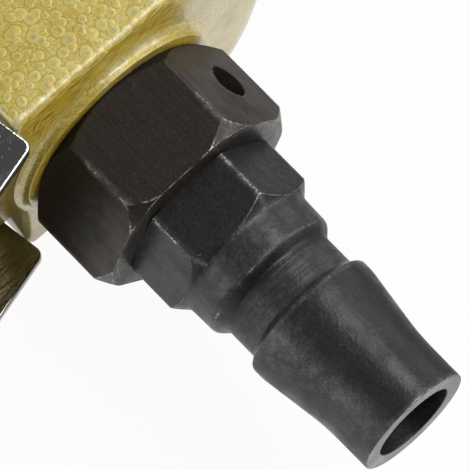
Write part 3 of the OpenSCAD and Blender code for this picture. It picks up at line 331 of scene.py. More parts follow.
body_inset = np.repeat(np.concatenate([front_inset, 0 * body_rows])[:, None], len(around), axis=1)
shell_x = np.concatenate([body_x, end_x])
shell_inset = np.concatenate([body_inset, end_inset])


def housing_radius(station, angle):
    """Outer radius of the casting: the round bar, cut by the resting flats that slope in to the flanks behind
    the barrel, and by the flat under the lever, which slopes up to the barrel. The crossings are rounded."""
    share = eased(station, barrel_rear_x, block_front_x)
    bar = barrel_r + (block_r - barrel_r) * share
    flank = rest_flat + (block_flank - rest_flat) * share
    flat = barrel_clear + (lever_flat - barrel_clear) * share
    sides = smooth_min(flat_radius(angle, np.pi / 2, flank), flat_radius(angle, -np.pi / 2, flank), 0.5)
    cut = smooth_min(bar, sides, 0.6 + 1.6 * share)
    return smooth_min(cut, flat_radius(angle, 0.0, flat), 0.6 + 0.6 * share)


outer_r = housing_radius(shell_x, around[None, :]) - shell_inset
across_slot = np.abs(shell_x[..., None] - slot_centres).min(axis=-1)
along_slot = np.abs(barrel_r * np.sin(around))[None, :]
past_end = np.maximum(along_slot - (slot_half_length - slot_width / 2), 0)
in_slot = (np.hypot(across_slot, past_end) < slot_width / 2 + 0.01) & (np.cos(around)[None, :] < 0)
slotted_r = np.where(in_slot, slot_floor_r, outer_r)

face_share = np.linspace(0, 1, 9)[1:, None]
end_face_r = outer_r[-1] * (1 - face_share) + boss_foot_r * face_share
inner_rows = np.concatenate([
    np.stack([housing_rear_x - boss_foot_height * (1 - np.cos(arc)),
              boss_foot_r - (boss_foot_r - boss_r) * np.sin(arc)], axis=-1)[1:],
    np.stack([hex_back_x + boss_lip_round * (1 - np.sin(arc)),
              boss_r - boss_lip_round * (1 - np.cos(arc))], axis=-1),
    np.array([(hex_back_x, 9.0), (hex_back_x, inlet_bore_r), (inlet_bore_front_x, inlet_bore_r),
              (motor_rear_x - 2, inlet_bore_r), (motor_rear_x, inlet_bore_r), (motor_rear_x, motor_bore_r),
              (-120.0, motor_bore_r), (barrel_front_x - 0.5, motor_bore_r), (barrel_front_x, motor_bore_r)]),
])
unturned = np.ones((1, len(around)))
housing_x = np.concatenate([shell_x, housing_rear_x + 0 * end_face_r, inner_rows[:, :1] * unturned])
housing_r = np.concatenate([slotted_r, end_face_r, inner_rows[:, 1:] * unturned])


def by_row(at_edge, on_face, inside):
    """Values for the housing's rows: 0 on its body, then those over its rounded edge, those on its end face
    and those of the boss and the bores."""
    return np.concatenate([
        np.zeros(len(body_x)), at_edge, np.full(len(face_share), on_face),
        np.broadcast_to(inside, len(inner_rows)),
    ])[:, None]


flank_turn = np.radians(86)
boss_lit_turn = np.radians(102)
boss_highlight_turn = np.radians(104)
boss_sheen_turn = np.radians(160)
lip_row = 12
shoulder_row = 5.0
boss_row = np.arange(len(housing_x)) - len(housing_x) + len(inner_rows)
on_boss = (boss_row >= 0)[:, None]
on_lip = np.abs(np.arange(len(inner_rows)) - lip_row) < 4
on_boss_side = np.abs(inner_rows[:, 0] - hex_back_x + 0.4) < 0.45
on_flank = bell(around, flank_turn, np.radians(52), 8)[None, :]
# Painted shade and painted sheen: on the end face amber shade lies on the side towards the flank and a cream
# sheen on the others; on the boss shade lies all round except where it is lit near 102 degrees, and sheen
# past 160 degrees.
boss_shade = 0.95 - 0.7 * bell(around, boss_lit_turn, np.radians(24))[None, :]
boss_sheen = 1 / (1 + np.exp((boss_sheen_turn - around) / np.radians(3)))[None, :]
# Painted highlight: a cream streak on the boss's shoulder, about 104 degrees round, where a soft box would be
# mirrored.
boss_painted_highlight = (
    bell(boss_row, shoulder_row, 3.6, 4)[:, None] * bell(around, boss_highlight_turn, np.radians(19), 4)[None, :]
)
thin_coat_and_highlight = by_row(bell(arc, 0.45, 0.33), 0.0, 0.2 * on_lip) + 1.15 * boss_painted_highlight
smooth_coat = by_row(arc / arc[-1], 1.0, 0.3)
on_end = by_row((arc / arc[-1]) ** 2, 1.0, on_boss_side)
# Painted shade: the floors of the exhaust slots are coloured near black, the shade inside them.
slot_shade = np.concatenate([in_slot * 1.0, np.zeros((len(housing_x) - len(shell_x), len(around)))])
unslotted = round_body(housing_x, np.concatenate([outer_r, housing_r[len(outer_r):]]), around[None, :])


def unrolled(points, middle):
    """Where each point of a grid lies on its skin laid flat: the summed steps down its rows, and those along
    its columns counted from the middle column, with the seam opposite it."""
    down = np.linalg.norm(np.diff(points, axis=0, prepend=points[:1]), axis=-1).cumsum(axis=0)
    steps = np.linalg.norm(np.roll(points, -1, axis=1) - points, axis=-1)
    steps = np.roll(steps, points.shape[1] // 2 - middle, axis=1)
    along = np.roll(steps.cumsum(axis=1) - steps[:, :1], middle - points.shape[1] // 2, axis=1)
    return down * mm, (along - along[:, middle:middle + 1]) * mm


skin_down, skin_along = unrolled(unslotted, len(around) // 4)
housing_shell = skin(
    "housing_shell", round_body(housing_x, housing_r, around[None, :]),
    {"thin_coat_and_highlight": thin_coat_and_highlight, "smooth_coat": smooth_coat, "slot_shade": slot_shade, "skin_down": skin_down,
     "skin_along": skin_along, "dulled_and_shaded": on_end * np.where(on_boss, boss_shade * (1 - boss_sheen), on_flank),
     "painted_sheen": on_end * np.where(on_boss, boss_sheen, 1 - on_flank)},
    slot_shade > 0,
)


def mix_colours(share, first, second):
    """Goes from the first colour at share 0 to the second at share 1."""
    made = add_node(share.id_data, "ShaderNodeMix", {"data_type": "RGBA"})
    for socket, value in zip((made.inputs[0], made.inputs[6], made.inputs[7]), (share, first, second)):
        feed(socket, value)
    return made.outputs[2]


def mark_value(tree, mark):
    """A value kept at the points of a piece."""
    return add_node(tree, "ShaderNodeAttribute", {"attribute_name": mark}).outputs["Fac"]


def noise(place, scale, detail, **inputs):
    """Fractal noise about 0.5, whose longest waves come scale times in a unit of the place."""
    made = add_node(place.id_data, "ShaderNodeTexNoise", Vector=place, Scale=scale, Detail=detail, **inputs)
    return made.outputs["Fac"]


def new_material(name):
    """An empty material, and its node tree, object coordinates and surface shader."""
    made = bpy.data.materials.new(name)
    tree = cleared_tree(made)
    shader = add_node(tree, "ShaderNodeBsdfPrincipled")
    add_node(tree, "ShaderNodeOutputMaterial", Surface=shader.outputs[0])
    place = add_node(tree, "ShaderNodeTexCoord").outputs["Object"]
    return made, tree, place, shader


gold_pale = (0.63, 0.51, 0.11, 1.0)
gold_deep = (0.55, 0.415, 0.06, 1.0)
gold_ochre = (0.40, 0.26, 0.03, 1.0)
gold_light = (0.72, 0.64, 0.25, 1.0)
gold_amber = (0.66, 0.44, 0.005, 1.0)
gold_brown = (0.25, 0.15, 0.005, 1.0)
cell_grey = (0.33, 0.35, 0.25, 1.0)
cream_coat_and_highlight = (0.82, 0.78, 0.60, 1.0)
sheen_pale = (0.70, 0.59, 0.29, 1.0)
slot_shade_black = (0.012, 0.011, 0.01, 1.0)
wander_reach = (0.00035, 0.00035, 0.0)
brush_pitch = (4200.0, 650.0, 1.0)
hammer_depth = 0.000024
hammered_gold, tree, place, shader = new_material("hammered_gold")
laid_flat = add_node(
    tree, "ShaderNodeCombineXYZ", X=mark_value(tree, "skin_down"), Y=mark_value(tree, "skin_along")
).outputs[0]
wander = add_node(tree, "ShaderNodeTexNoise", Vector=place, Scale=1100.0, Detail=2.0).outputs["Color"]
swirl = vector_step("MULTIPLY_ADD", wander, wander_reach, laid_flat)


def enamel_cells(scale, **settings):
    """Cells in the skin laid flat, whose walls wander."""
    return add_node(
        tree, "ShaderNodeTexVoronoi", {"voronoi_dimensions": "2D", **settings}, Vector=swirl, Scale=scale
    )


def band(value, middle, full, gone):
    """1 where the value is within full of the middle, 0 where it is further from it than gone."""
    off = calculate("ABSOLUTE", calculate("SUBTRACT", value, middle))
    return ramp(off, full, gone, 1.0, 0.0)


def enamel_bubbles(scale, least, most):
    """Round bubbles of mixed size in the skin laid flat. Returns how much a place lies inside one, on its
    thin outline, on the pale ring within that and in the grey eye at its middle, and how its dome rises."""
    cells = enamel_cells(scale)
    chance = add_node(tree, "ShaderNodeSeparateColor", Color=cells.outputs["Color"])
    size = ramp(chance.outputs[0], 0.0, 1.0, least, most)
    share = calculate("DIVIDE", cells.outputs["Distance"], size)
    inside = ramp(share, 0.95, 1.05, 1.0, 0.0)
    eye = product(ramp(share, 0.1, 0.5, 1.0, 0.0), ramp(chance.outputs[1], 0.3, 0.8))
    dome = ramp(share, 0.3, 1.1, 1.0, 0.0)
    return inside, band(share, 1.0, 0.01, 0.13), band(share, 0.68, 0.05, 0.24), eye, dome


brushed = add_node(
    tree, "ShaderNodeTexNoise", {"noise_dimensions": "2D"},
    Vector=vector_step("MULTIPLY", laid_flat, brush_pitch), Scale=1.0, Detail=4.0,
).outputs["Fac"]
brushed_on_end = mark_value(tree, "smooth_coat")


def brushed_mark(mark):
    """A mark whose halfway values are broken up by the strokes of the brush."""
    value = mark_value(tree, mark)
    halfway = product(value, calculate("SUBTRACT", 1.0, value))
    stroke = product(halfway, ramp(brushed, 0.35, 0.65, -2.4, 2.4))
    return ramp(total(value, stroke), 0.0, 1.0)


inside, outline, ring, eye, dome = enamel_bubbles(930.0, 0.34, 0.66)
small_ring, small_eye, small_dome = enamel_bubbles(1900.0, 0.25, 0.6)[2:]
between = calculate("SUBTRACT", 1.0, inside)
cell_walls = enamel_cells(1500.0, feature="DISTANCE_TO_EDGE").outputs["Distance"]
network = ramp(cell_walls, 0.01, 0.11, 1.0, 0.0)
grain = noise(place, 4200.0, 3.0, Roughness=0.6)
patches = noise(place, 420.0, 3.0)
blots = ramp(patches, 0.45, 0.65)
gold = mix_colours(ramp(patches, 0.35, 0.65), gold_deep, gold_pale)
gold = mix_colours(ramp(grain, 0.45, 0.7, 0.0, 0.45), gold, gold_light)
gold = mix_colours(ramp(grain, 0.3, 0.5, 0.4, 0.0), gold, gold_ochre)
for share, colour, strength in (
    (product(small_ring, between), gold_light, 0.45),
    (product(network, between), gold_ochre, 0.55),
    (product(small_eye, between), cell_grey, 0.35),
    (ring, gold_light, 0.4),
    (eye, cell_grey, 0.7),
    (outline, gold_ochre, 0.75),
    # Painted shade in amber and painted pale sheen, with ochre blots in the sheen.
    (brushed_mark("dulled_and_shaded"), gold_amber, 0.85),
    (product(brushed_on_end, ramp(brushed, 0.5, 0.6)), gold_brown, 0.8),
    (product(brushed_on_end, ramp(brushed, 0.48, 0.38)), gold_light, 0.45),
    (brushed_mark("painted_sheen"), sheen_pale, 0.8),
    (product(mark_value(tree, "painted_sheen"), blots), gold_ochre, 0.4),
):
    gold = mix_colours(product(share, strength), gold, colour)
streaks = noise(place, 1100.0, 4.0)
# Cream where the enamel is drawn thin on the edges, partly painted highlight, and the painted highlight
# streak on the boss.
drawn_thin_and_highlight = product(mark_value(tree, "thin_coat_and_highlight"), ramp(streaks, 0.35, 0.65, 0.1, 0.6))
gold = mix_colours(drawn_thin_and_highlight, gold, cream_coat_and_highlight)
# Painted shade on the slot floors.
gold = mix_colours(mark_value(tree, "slot_shade"), gold, slot_shade_black)
dull = calculate("MAXIMUM", mark_value(tree, "dulled_and_shaded"), mark_value(tree, "thin_coat_and_highlight"))
relief = total(dome, product(small_dome, 0.3))
relief = total(relief, product(grain, 0.25))
relief = product(relief, ramp(brushed_on_end, 0.0, 1.0, 1.0, 0.5))
relief = total(relief, product(brushed_on_end, product(brushed, 0.2)))
hammer_bump = add_node(tree, "ShaderNodeBump", Strength=1.0, Distance=hammer_depth, Height=relief)
set_inputs(
    shader, Base_Color=gold, Metallic=0.2, Roughness=0.38, Coat_Weight=ramp(dull, 0.0, 1.0, 0.8, 0.06),
    Coat_Roughness=0.07, Normal=hammer_bump.outputs[0],
)

housing_shell.data.materials.append(hammered_gold)
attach(housing_shell, "housing")
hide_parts("housing")


# Lug of the lever's pin
# Part of the housing's casting: a ridge across the lever flat, rounded over the pin that it holds.
# It has the same hammered enamel.
lug_x = -189.0
lug_y = 15.5
lug_r = 4.5
lug_half = 12.3
lug_round = 0.8
lug_sunk = 0.8
lug_turn = np.linspace(0, 2 * np.pi, 64, endpoint=False)
lug_sides = lug_r * np.sign(np.cos(lug_turn)) * np.minimum(1, np.abs(np.cos(lug_turn)) * 3.0)
lug_outline_x = np.where(np.sin(lug_turn) > 0, lug_r * np.cos(lug_turn), lug_sides)
lug_outline_y = np.where(
    np.sin(lug_turn) > 0, lug_r * np.sin(lug_turn),
    (lug_y - lever_flat + lug_sunk) * np.maximum(np.sin(lug_turn) * 1.06, -1),
)
lug_arc = np.linspace(0, np.pi / 2, 7)
lug_drawn_in = 1 - lug_round / lug_r * (1 - np.sin(lug_arc))
lug_end_z = lug_half - lug_round * (1 - np.cos(lug_arc))
lug_shrink = np.concatenate([[0.02], lug_drawn_in, [1.0], lug_drawn_in[::-1], [0.02]])[:, None]
lug_z = np.concatenate([[lug_half], lug_end_z, [0.0], -lug_end_z[::-1], [-lug_half]])[:, None]
lug_points = np.stack(np.broadcast_arrays(
    lug_x + lug_outline_x[None, :] * lug_shrink, lug_y + lug_outline_y[None, :] * lug_shrink, lug_z,
), axis=-1)
lug_down, lug_along = unrolled(lug_points, len(lug_turn) // 4)
lever_lug = skin("lever_lug", lug_points, {"skin_down": lug_down, "skin_along": lug_along})
lever_lug.data.materials.append(hammered_gold)
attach(lever_lug, "housing")


# Inlet bushing
# A steel hexagon 19 mm across its flats, black oxidised, screwed into the end of the housing.
# Its corners and chamfers are worn bright by spanners, and one flat has a round spanner hole. On the end
# chamfer the wear is drawn only on the side towards the lamps, a painted sheen, a painted reflection lightens
# one flat towards its end, and painted shade blackens the back chamfer by the boss.
def rounded_outline(corners, rounds, steps):
    """A closed profile of (x, radius) through its corners. At each one a parabola leaves the straight run a
    given length before the corner and joins the next run the same length after it. The run after each corner
    is divided into pieces no longer than its step."""
    corners = np.array(corners, float)
    reach = np.array(rounds, float)[:, None]
    before = np.roll(corners, 1, axis=0) - corners
    after = np.roll(corners, -1, axis=0) - corners
    start = corners + reach * before / np.linalg.norm(before, axis=1, keepdims=True)
    end = corners + reach * after / np.linalg.norm(after, axis=1, keepdims=True)
    along = np.linspace(0, 1, 6)[:, None]
    runs = []
    for k, corner in enumerate(corners):
        gap = np.roll(start, -1, axis=0)[k] - end[k]
        pieces = max(1, int(np.ceil(np.linalg.norm(gap) / steps[k])))
        runs.append((1 - along) ** 2 * start[k] + 2 * along * (1 - along) * corner + along ** 2 * end[k])
        runs.append(end[k] + np.linspace(0, 1, pieces + 1)[1:-1, None] * gap)
    return np.concatenate(runs)


def hexagon_radius(angle, across, roll, rounding):
    """How far from the axis a ray at an angle leaves a hexagonal bar: half its width over the cosine of the
    angle from the nearest flat, with the meeting of two flats rounded."""
    from_flat = np.mod(angle - roll, np.pi / 3) - np.pi / 6
    nearest = across / 2 / np.cos(from_flat)
    beyond = across / 2 / np.cos(np.pi / 3 - np.abs(from_flat))
    return smooth_min(nearest, beyond, rounding)


def hexagon_angles(roll, columns):
    """Angles round a hexagon, with the columns of each flat drawn together towards its corners."""
    share = np.linspace(-1, 1, columns, endpoint=False)
    from_flat = np.sign(share) * (1 - (1 - np.abs(share)) ** 1.7) * np.pi / 6
    return (roll + np.pi / 6 + np.pi / 3 * np.arange(6)[:, None] + from_flat[None, :]).ravel()


def from_hexagon_corner(angle, across, roll):
    """How far along its flat each angle lies from the nearest corner of a hexagonal bar."""
    gap = np.pi / 6 - np.abs(np.mod(angle - roll, np.pi / 3) - np.pi / 6)
    return gap[None, :] * across / 2 / np.cos(np.pi / 6)


def on_bar_share(past_bar):
    """1 where a turned blank stands out past the bar, whose own faces then show, and 0 where it cuts in."""
    return np.clip(past_bar / 0.05 + 0.5, 0, 1)


bushing_across = 19.15
bushing_roll = np.radians(-7.6)
bushing_end_x = -207.1
bushing_face_r = 10.0
bushing_back_r = 9.35
bushing_thread_r = 6.9
bushing_bore_r = 4.8
bushing_cone = 1.4
bushing_overrun = 1.3
bushing_corner_r = bushing_across / 2 / np.cos(np.pi / 6)
bushing_blank_r = bushing_face_r + (bushing_corner_r - bushing_face_r) * bushing_overrun
cone_length = bushing_cone * bushing_overrun
spanner_hole_x = -202.0
spanner_hole_r = 1.9
spanner_hole_shift = 0.9
spanner_hole_depth = 2.5
spanner_lip_depth = 0.2
wear_start_x = -199.4
wear_slant = 3.4
wear_turn = np.radians(140)
sheen_start_x = -200.5
bushing_outline = rounded_outline(
    [(inlet_bore_front_x, bushing_thread_r), (hex_back_x, bushing_thread_r), (hex_back_x, bushing_back_r),
     (hex_back_x - cone_length, bushing_blank_r), (bushing_end_x + cone_length, bushing_blank_r),
     (bushing_end_x, bushing_face_r), (bushing_end_x, bushing_bore_r), (inlet_bore_front_x, bushing_bore_r)],
    [0.1, 0.1, 0.25, 0.1, 0.1, 0.1, 0.1, 0.1], [2.0, 1.0, 0.08, 0.2, 0.05, 0.4, 2.0, 1.0],
)
bushing_angles = hexagon_angles(bushing_roll, 40)
hole_facing = bushing_roll + np.radians(150)
from_hole = np.angle(np.exp(1j * (bushing_angles - hole_facing)))
bushing_angles = np.sort(np.mod(np.concatenate([
    bushing_angles[np.abs(from_hole) > np.radians(18)],
    hole_facing + np.radians(np.arange(-18, 18.01, 0.7)),
]), 2 * np.pi))
bushing_x = bushing_outline[:, :1]
bushing_blank = bushing_outline[:, 1:]
hex_bar = hexagon_radius(bushing_angles, bushing_across, bushing_roll, 0.2)[None, :]
bushing_r = smooth_min(bushing_blank, hex_bar, 0.08)
bushing_points = round_body(bushing_x, bushing_r, bushing_angles[None, :])
hole_out = np.array([0.0, np.cos(hole_facing), np.sin(hole_facing)])
hole_side = np.array([0.0, -np.sin(hole_facing), np.cos(hole_facing)])
stood_off = bushing_points @ hole_out
hole_across = bushing_points @ hole_side - spanner_hole_shift
hole_along = bushing_points[..., 0] - spanner_hole_x
hole_distance = np.hypot(hole_along, hole_across)
on_hole_flat = (stood_off > bushing_across / 2 - 0.05) & (hole_distance < spanner_hole_r + 1)
to_rim = on_hole_flat & (np.abs(hole_distance - spanner_hole_r) < 0.1)
pull = np.where(to_rim, spanner_hole_r / np.maximum(hole_distance, 0.1), 1.0)
in_hole = on_hole_flat & ~to_rim & (hole_distance < spanner_hole_r)
worn_lip = np.hypot((hole_across / spanner_hole_r - 0.27) / 0.73, hole_along / spanner_hole_r / 0.92) > 1
lip_depth = spanner_lip_depth * np.clip((spanner_hole_r - hole_distance) / 1.3, 0, 1)
sunk = np.where(in_hole, np.where(worn_lip, lip_depth, spanner_hole_depth), 0.0)
hole_points = (
    np.array([spanner_hole_x, 0.0, 0.0]) + (hole_along * pull)[..., None] * np.array([1.0, 0.0, 0.0])
    + (hole_across * pull + spanner_hole_shift)[..., None] * hole_side
    + (stood_off - sunk)[..., None] * hole_out
)
bushing_points = np.where(on_hole_flat[..., None], hole_points, bushing_points)

past_bar = bushing_blank - hex_bar
behind_hole = bushing_x < spanner_hole_x
outside = np.clip((bushing_r - 9.0) / 0.3, 0, 1)
from_corner = from_hexagon_corner(bushing_angles, bushing_across, bushing_roll)
corner_angle = bushing_roll + np.pi / 3 * np.round((bushing_angles - bushing_roll) / (np.pi / 3))
wear_start = wear_start_x - wear_slant * np.cos(corner_angle - wear_turn)[None, :]
knocked = np.clip((wear_start - bushing_x) / 2 + 0.3, 0.1, 1)
knocked_bar = on_bar_share(past_bar) * knocked
corner_lines = knocked_bar * bell(from_corner, 0, 0.24)
rim_lines = bell(np.hypot(bushing_x - bushing_end_x, bushing_blank - bushing_face_r), 0, 0.1)
on_chamfer = np.clip(-past_bar / 0.06, 0, 1) * behind_hole
# Partly painted sheen: the end chamfer is worn bright only on its side towards the lamps.
lit_chamfer = on_chamfer * np.clip(0.3 - 0.9 * np.cos(bushing_angles), 0, 1)[None, :]
# Painted reflection: one flat lightens towards the plug end.
on_left_flat = bell(bushing_angles, bushing_roll + np.radians(30), np.radians(27), 8)[None, :]
flat_painted_sheen = on_left_flat * np.clip((sheen_start_x - bushing_x) / 5, 0, 1)
bushing_edge = outside * np.maximum(corner_lines, rim_lines)
bushing_rub_and_sheen = outside * np.maximum.reduce([
    knocked_bar * bell(from_corner, 0, 0.18 + 0.18 * knocked, 4), 0.9 * lit_chamfer, 0.4 * flat_painted_sheen,
])
# Painted shade: the back chamfer and the back edge by the boss are made black and matte, a contact shadow.
bushing_contact_shade = np.maximum(
    np.clip(-past_bar / 0.1, 0, 1) * (bushing_x > spanner_hole_x), bell(bushing_x, hex_back_x, 0.4)
)
inlet_bushing = skin(
    "inlet_bushing_hex", bushing_points,
    {"edge": bushing_edge * (1 - bushing_contact_shade), "rub_and_sheen": bushing_rub_and_sheen * (1 - bushing_contact_shade),
     "to_ridge": np.where((outside > 0.9) & behind_hole, past_bar, 1.0), "contact_shade": bushing_contact_shade}, sunk > 1,
)


def new_group(name, vectors, numbers, results):
    """An empty node group that takes vectors and numbers and gives numbers, and its first and last node."""
    made = bpy.data.node_groups.new(name, "ShaderNodeTree")
    for way, kind, sockets in (
        ("INPUT", "NodeSocketVector", vectors), ("INPUT", "NodeSocketFloat", numbers),
        ("OUTPUT", "NodeSocketFloat", results),
    ):
        for socket in sockets:
            made.interface.new_socket(socket, in_out=way, socket_type=kind)
    return made, made.nodes.new("NodeGroupInput").outputs, made.nodes.new("NodeGroupOutput").inputs


def use_group(tree, group, **inputs):
    """Places a node group in a material, with its sockets joined or set, and returns its results."""
    return add_node(tree, "ShaderNodeGroup", {"node_tree": group}, **inputs).outputs


worn_edges, given, result = new_group("worn_edges", ["Vector"], ["Edge", "Rub", "To Ridge"], ["Worn"])
nicks = noise(given["Vector"], 1000.0, 6.0)
knocks = noise(given["Vector"], 420.0, 2.0)
speckle = noise(given["Vector"], 5200.0, 2.0)
bite = total(ramp(nicks, 0.3, 0.7, 0.2, 1.0), ramp(knocks, 0.35, 0.65, -0.45, 0.35))
wobble = ramp(nicks, 0.3, 0.7, -0.05, 0.05)
off_ridge = calculate("ABSOLUTE", total(given["To Ridge"], wobble))
ridge = ramp(off_ridge, 0.01, 0.12, 1.0, 0.0)
edge = calculate("MAXIMUM", given["Edge"], ridge)
bitten = product(ramp(product(edge, bite), 0.2, 0.9), ramp(speckle, 0.4, 0.6, 0.1, 1.0))
rubbed = product(ramp(nicks, 0.35, 0.75, 0.06, 0.26), ramp(speckle, 0.35, 0.65, 0.5, 1.5))
scuffs = product(given["Rub"], rubbed)
feed(result["Worn"], calculate("MAXIMUM", bitten, scuffs))

machine_lines, given, result = new_group("machine_lines", ["Vector", "Pitch"], [], ["Lines"])
drawn = vector_step("MULTIPLY", given["Vector"], given["Pitch"])
feed(result["Lines"], ramp(noise(drawn, 1.0, 3.0), 0.3, 0.7))

grime, given, result = new_group("grime", ["Vector"], ["Size"], ["Patches", "Specks", "Grain"])
cloud_scale = calculate("DIVIDE", 1.0, given["Size"])
clouds = noise(given["Vector"], cloud_scale, 5.0, Roughness=0.6)
feed(result["Patches"], ramp(clouds, 0.35, 0.68))
dots = add_node(grime, "ShaderNodeTexVoronoi", Vector=given["Vector"], Scale=1100.0)
few = add_node(grime, "ShaderNodeSeparateColor", Color=dots.outputs["Color"])
speck = product(ramp(dots.outputs["Distance"], 0.03, 0.12, 1.0, 0.0), ramp(few.outputs[0], 0.8, 0.95))
feed(result["Specks"], speck)
feed(result["Grain"], ramp(noise(given["Vector"], 3600.0, 3.0), 0.42, 0.72))


def metal_finish(
    name, colour, tarnish, bright, roughness, metallic, pitch, line_depth, cloud=0.006, ridged=False
):
    """Machined metal: clouds of tarnish over its colour, fine tool lines at a pitch along each axis that turn
    both roughness and surface, except where it is satin, and bright metal where the edges are worn, which the
    rubbing mark also spreads as painted sheen on some faces.
    A metallic below 1 is for what is blacked or not metal, whose surface also shows the clouds. Ridged pieces
    are worn along the ridges that they mark."""
    made, tree, place, shader = new_material(name)
    lines = use_group(tree, machine_lines, Vector=place, Pitch=pitch)["Lines"]
    lines = product(lines, ramp(mark_value(tree, "satin"), 0.0, 1.0, 1.0, 0.0))
    dirt = use_group(tree, grime, Vector=place, Size=cloud)
    worn = use_group(
        tree, worn_edges, Vector=place, Edge=mark_value(tree, "edge"), Rub=mark_value(tree, "rub_and_sheen"),
        To_Ridge=mark_value(tree, "to_ridge") if ridged else 1.0,
    )["Worn"]
    tint = mix_colours(dirt["Patches"], colour, tarnish)
    for share, strength, over in (
        (lines, 0.12, tarnish), (dirt["Specks"], 0.12, bright), (dirt["Grain"], 0.02, bright),
    ):
        tint = mix_colours(product(share, strength), tint, over)
    matte = ramp(lines, 0.0, 1.0, roughness - 0.04, roughness + 0.04)
    matte = total(matte, product(dirt["Patches"], 0.2 - 0.16 * metallic))
    relief = total(lines, product(dirt["Grain"], 0.16))
    if metallic < 1:
        relief = total(relief, dirt["Patches"])
        metallic = ramp(worn, 0.0, 1.0, metallic, 0.6)
    bump = add_node(tree, "ShaderNodeBump", Strength=1.0, Distance=line_depth, Height=relief)
    set_inputs(
        shader, Base_Color=mix_colours(worn, tint, bright), Roughness=matte, Metallic=metallic,
        Normal=bump.outputs[0],
    )
    return made, shader


def overlay(shader, mark, colour, socket="Base Color"):
    """Turns what feeds a socket of the shader to a colour where a mark is set."""
    under = shader.inputs[socket].links[0].from_socket
    feed(shader.inputs[socket], mix_colours(mark_value(shader.id_data, mark), under, colour))


oxide_brown = (0.026, 0.0185, 0.0145, 1.0)
oxide_dark = (0.010, 0.0088, 0.0072, 1.0)
rubbed_steel = (0.50, 0.48, 0.44, 1.0)
contact_shade_black = (0.0015, 0.0013, 0.001, 1.0)
contact_shade_matte = (0.8, 0.8, 0.8, 1.0)
bushing_black, shader = metal_finish(
    "bushing_black", oxide_brown, oxide_dark, rubbed_steel, 0.32, 0.0, (160.0, 2800.0, 2800.0), 0.000009,
    0.004, True,
)
set_inputs(shader, Specular_IOR_Level=0.43, Specular_Tint=(1.0, 0.93, 0.88, 1.0))
# Painted contact shadow on the back chamfer.
overlay(shader, "contact_shade", contact_shade_black)
overlay(shader, "contact_shade", contact_shade_matte, "Roughness")
inlet_bushing.data.materials.append(bushing_black)
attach(inlet_bushing, "housing")
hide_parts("inlet_bushing")


# Air plug
# A turned steel plug for a quick coupler: a 14 mm hexagon, a collar, a neck for its balls, a tapered head.
# It is blacked like the bushing and screwed into it. Its end face is ground bare, painted shade darkens
# its groove, and painted sheen lies on one side of its head.
plug_across = 14.0
plug_roll = np.radians(-11.3)
plug_front_x = -197.2
plug_hex_x = -206.95
plug_thread_r = 4.7
plug_blank_r = 8.5
plug_bore_r = 3.9
plug_passage_r = 3.2
plug_tip_r = 5.6
plug_neck_r = 5.8
plug_head_r = 6.6
plug_end_x = -234.3
least_hex_r = 6.95
collar_edge_x = -216.4
groove_x = -217.2
neck_middle_x = -218.9
head_start_x = -221.3
head_edge_x = -221.4
head_sheen_x = -222.4
head_sheen_turn = np.radians(40)
plug_outline = rounded_outline(
    [(plug_front_x, plug_thread_r), (plug_hex_x, plug_thread_r), (plug_hex_x, 6.8), (-207.3, plug_blank_r),
     (-211.75, plug_blank_r), (-213.25, 6.84), (-216.35, 6.75), (-217.3, plug_neck_r),
     (-220.55, plug_neck_r), (-221.15, plug_head_r), (-222.3, plug_head_r), (-229.2, 5.62),
     (plug_end_x, plug_tip_r), (plug_end_x, plug_bore_r), (-207.0, plug_bore_r), (-206.5, plug_passage_r),
     (plug_front_x, plug_passage_r)],
    [0.1, 0.1, 0.1, 0.12, 0.1, 0.5, 0.35, 0.3, 0.2, 0.2, 0.5, 1.6, 0.15, 0.12, 0.1, 0.1, 0.1],
    [2.0, 0.5, 0.4, 0.4, 0.05, 0.4, 0.1, 0.4, 0.1, 0.2, 0.4, 0.4, 0.2, 2.0, 0.2, 2.0, 0.5],
)
plug_angles = hexagon_angles(plug_roll, 36)
plug_hex = hexagon_radius(plug_angles, plug_across, plug_roll, 0.24)[None, :]
plug_x = plug_outline[:, :1]
plug_blank = plug_outline[:, 1:]
plug_r = smooth_min(plug_blank, plug_hex, 0.1)
past_plug_bar = plug_blank - plug_hex
from_plug_corner = from_hexagon_corner(plug_angles, plug_across, plug_roll)
plug_outside = np.clip((plug_r - 4.8) / 0.2, 0, 1)
on_hex = plug_outside * (plug_r > least_hex_r)
plug_corner_lines = on_hex * on_bar_share(past_plug_bar) * 0.8 * bell(from_plug_corner, 0, 0.2)
from_tip = np.hypot(plug_x - plug_end_x, plug_blank - plug_tip_r)
turned_lines = plug_outside * np.maximum.reduce([
    bell(from_tip, 0, 0.2), 0.7 * bell(plug_x, collar_edge_x, 0.16), 0.6 * bell(plug_x, head_edge_x, 0.14),
])
# Scuffs and painted sheen: bright speckles in a band on one side of the head, strongest near its widest part,
# stand in for a highlight there; fainter scuffs cover the neck.
on_left = bell(plug_angles, head_sheen_turn, np.radians(20))[None, :]
on_head = np.clip(head_start_x - plug_x, 0, 1) * plug_outside
on_neck = plug_outside * (plug_r < least_hex_r) * (plug_x > head_start_x)
head_scuffs_and_sheen = np.maximum(on_left * on_head * (0.5 + 0.5 * bell(plug_x, head_sheen_x, 1.4)), 0.3 * on_neck)
air_plug = skin("air_plug_body", round_body(plug_x, plug_r, plug_angles[None, :]), {
    "edge": np.maximum(plug_corner_lines, turned_lines),
    "rub_and_sheen": np.maximum.reduce([on_hex * bell(from_plug_corner, 0, 0.28), turned_lines, head_scuffs_and_sheen]),
    "satin": 1 - bell(plug_x, neck_middle_x, 1.6, 6),
    "ground": np.clip(1 - np.abs(plug_x - plug_end_x) / 0.05, 0, 1) * (plug_r > plug_bore_r + 0.05),
    # Painted shade: the groove behind the collar is darkened.
    "groove_shade": 0.85 * plug_outside * bell(plug_x, groove_x, 0.75, 4),
    "to_ridge": np.where(on_hex > 0.9, past_plug_bar * (1 + 1.2 * from_plug_corner), 1.0),
})
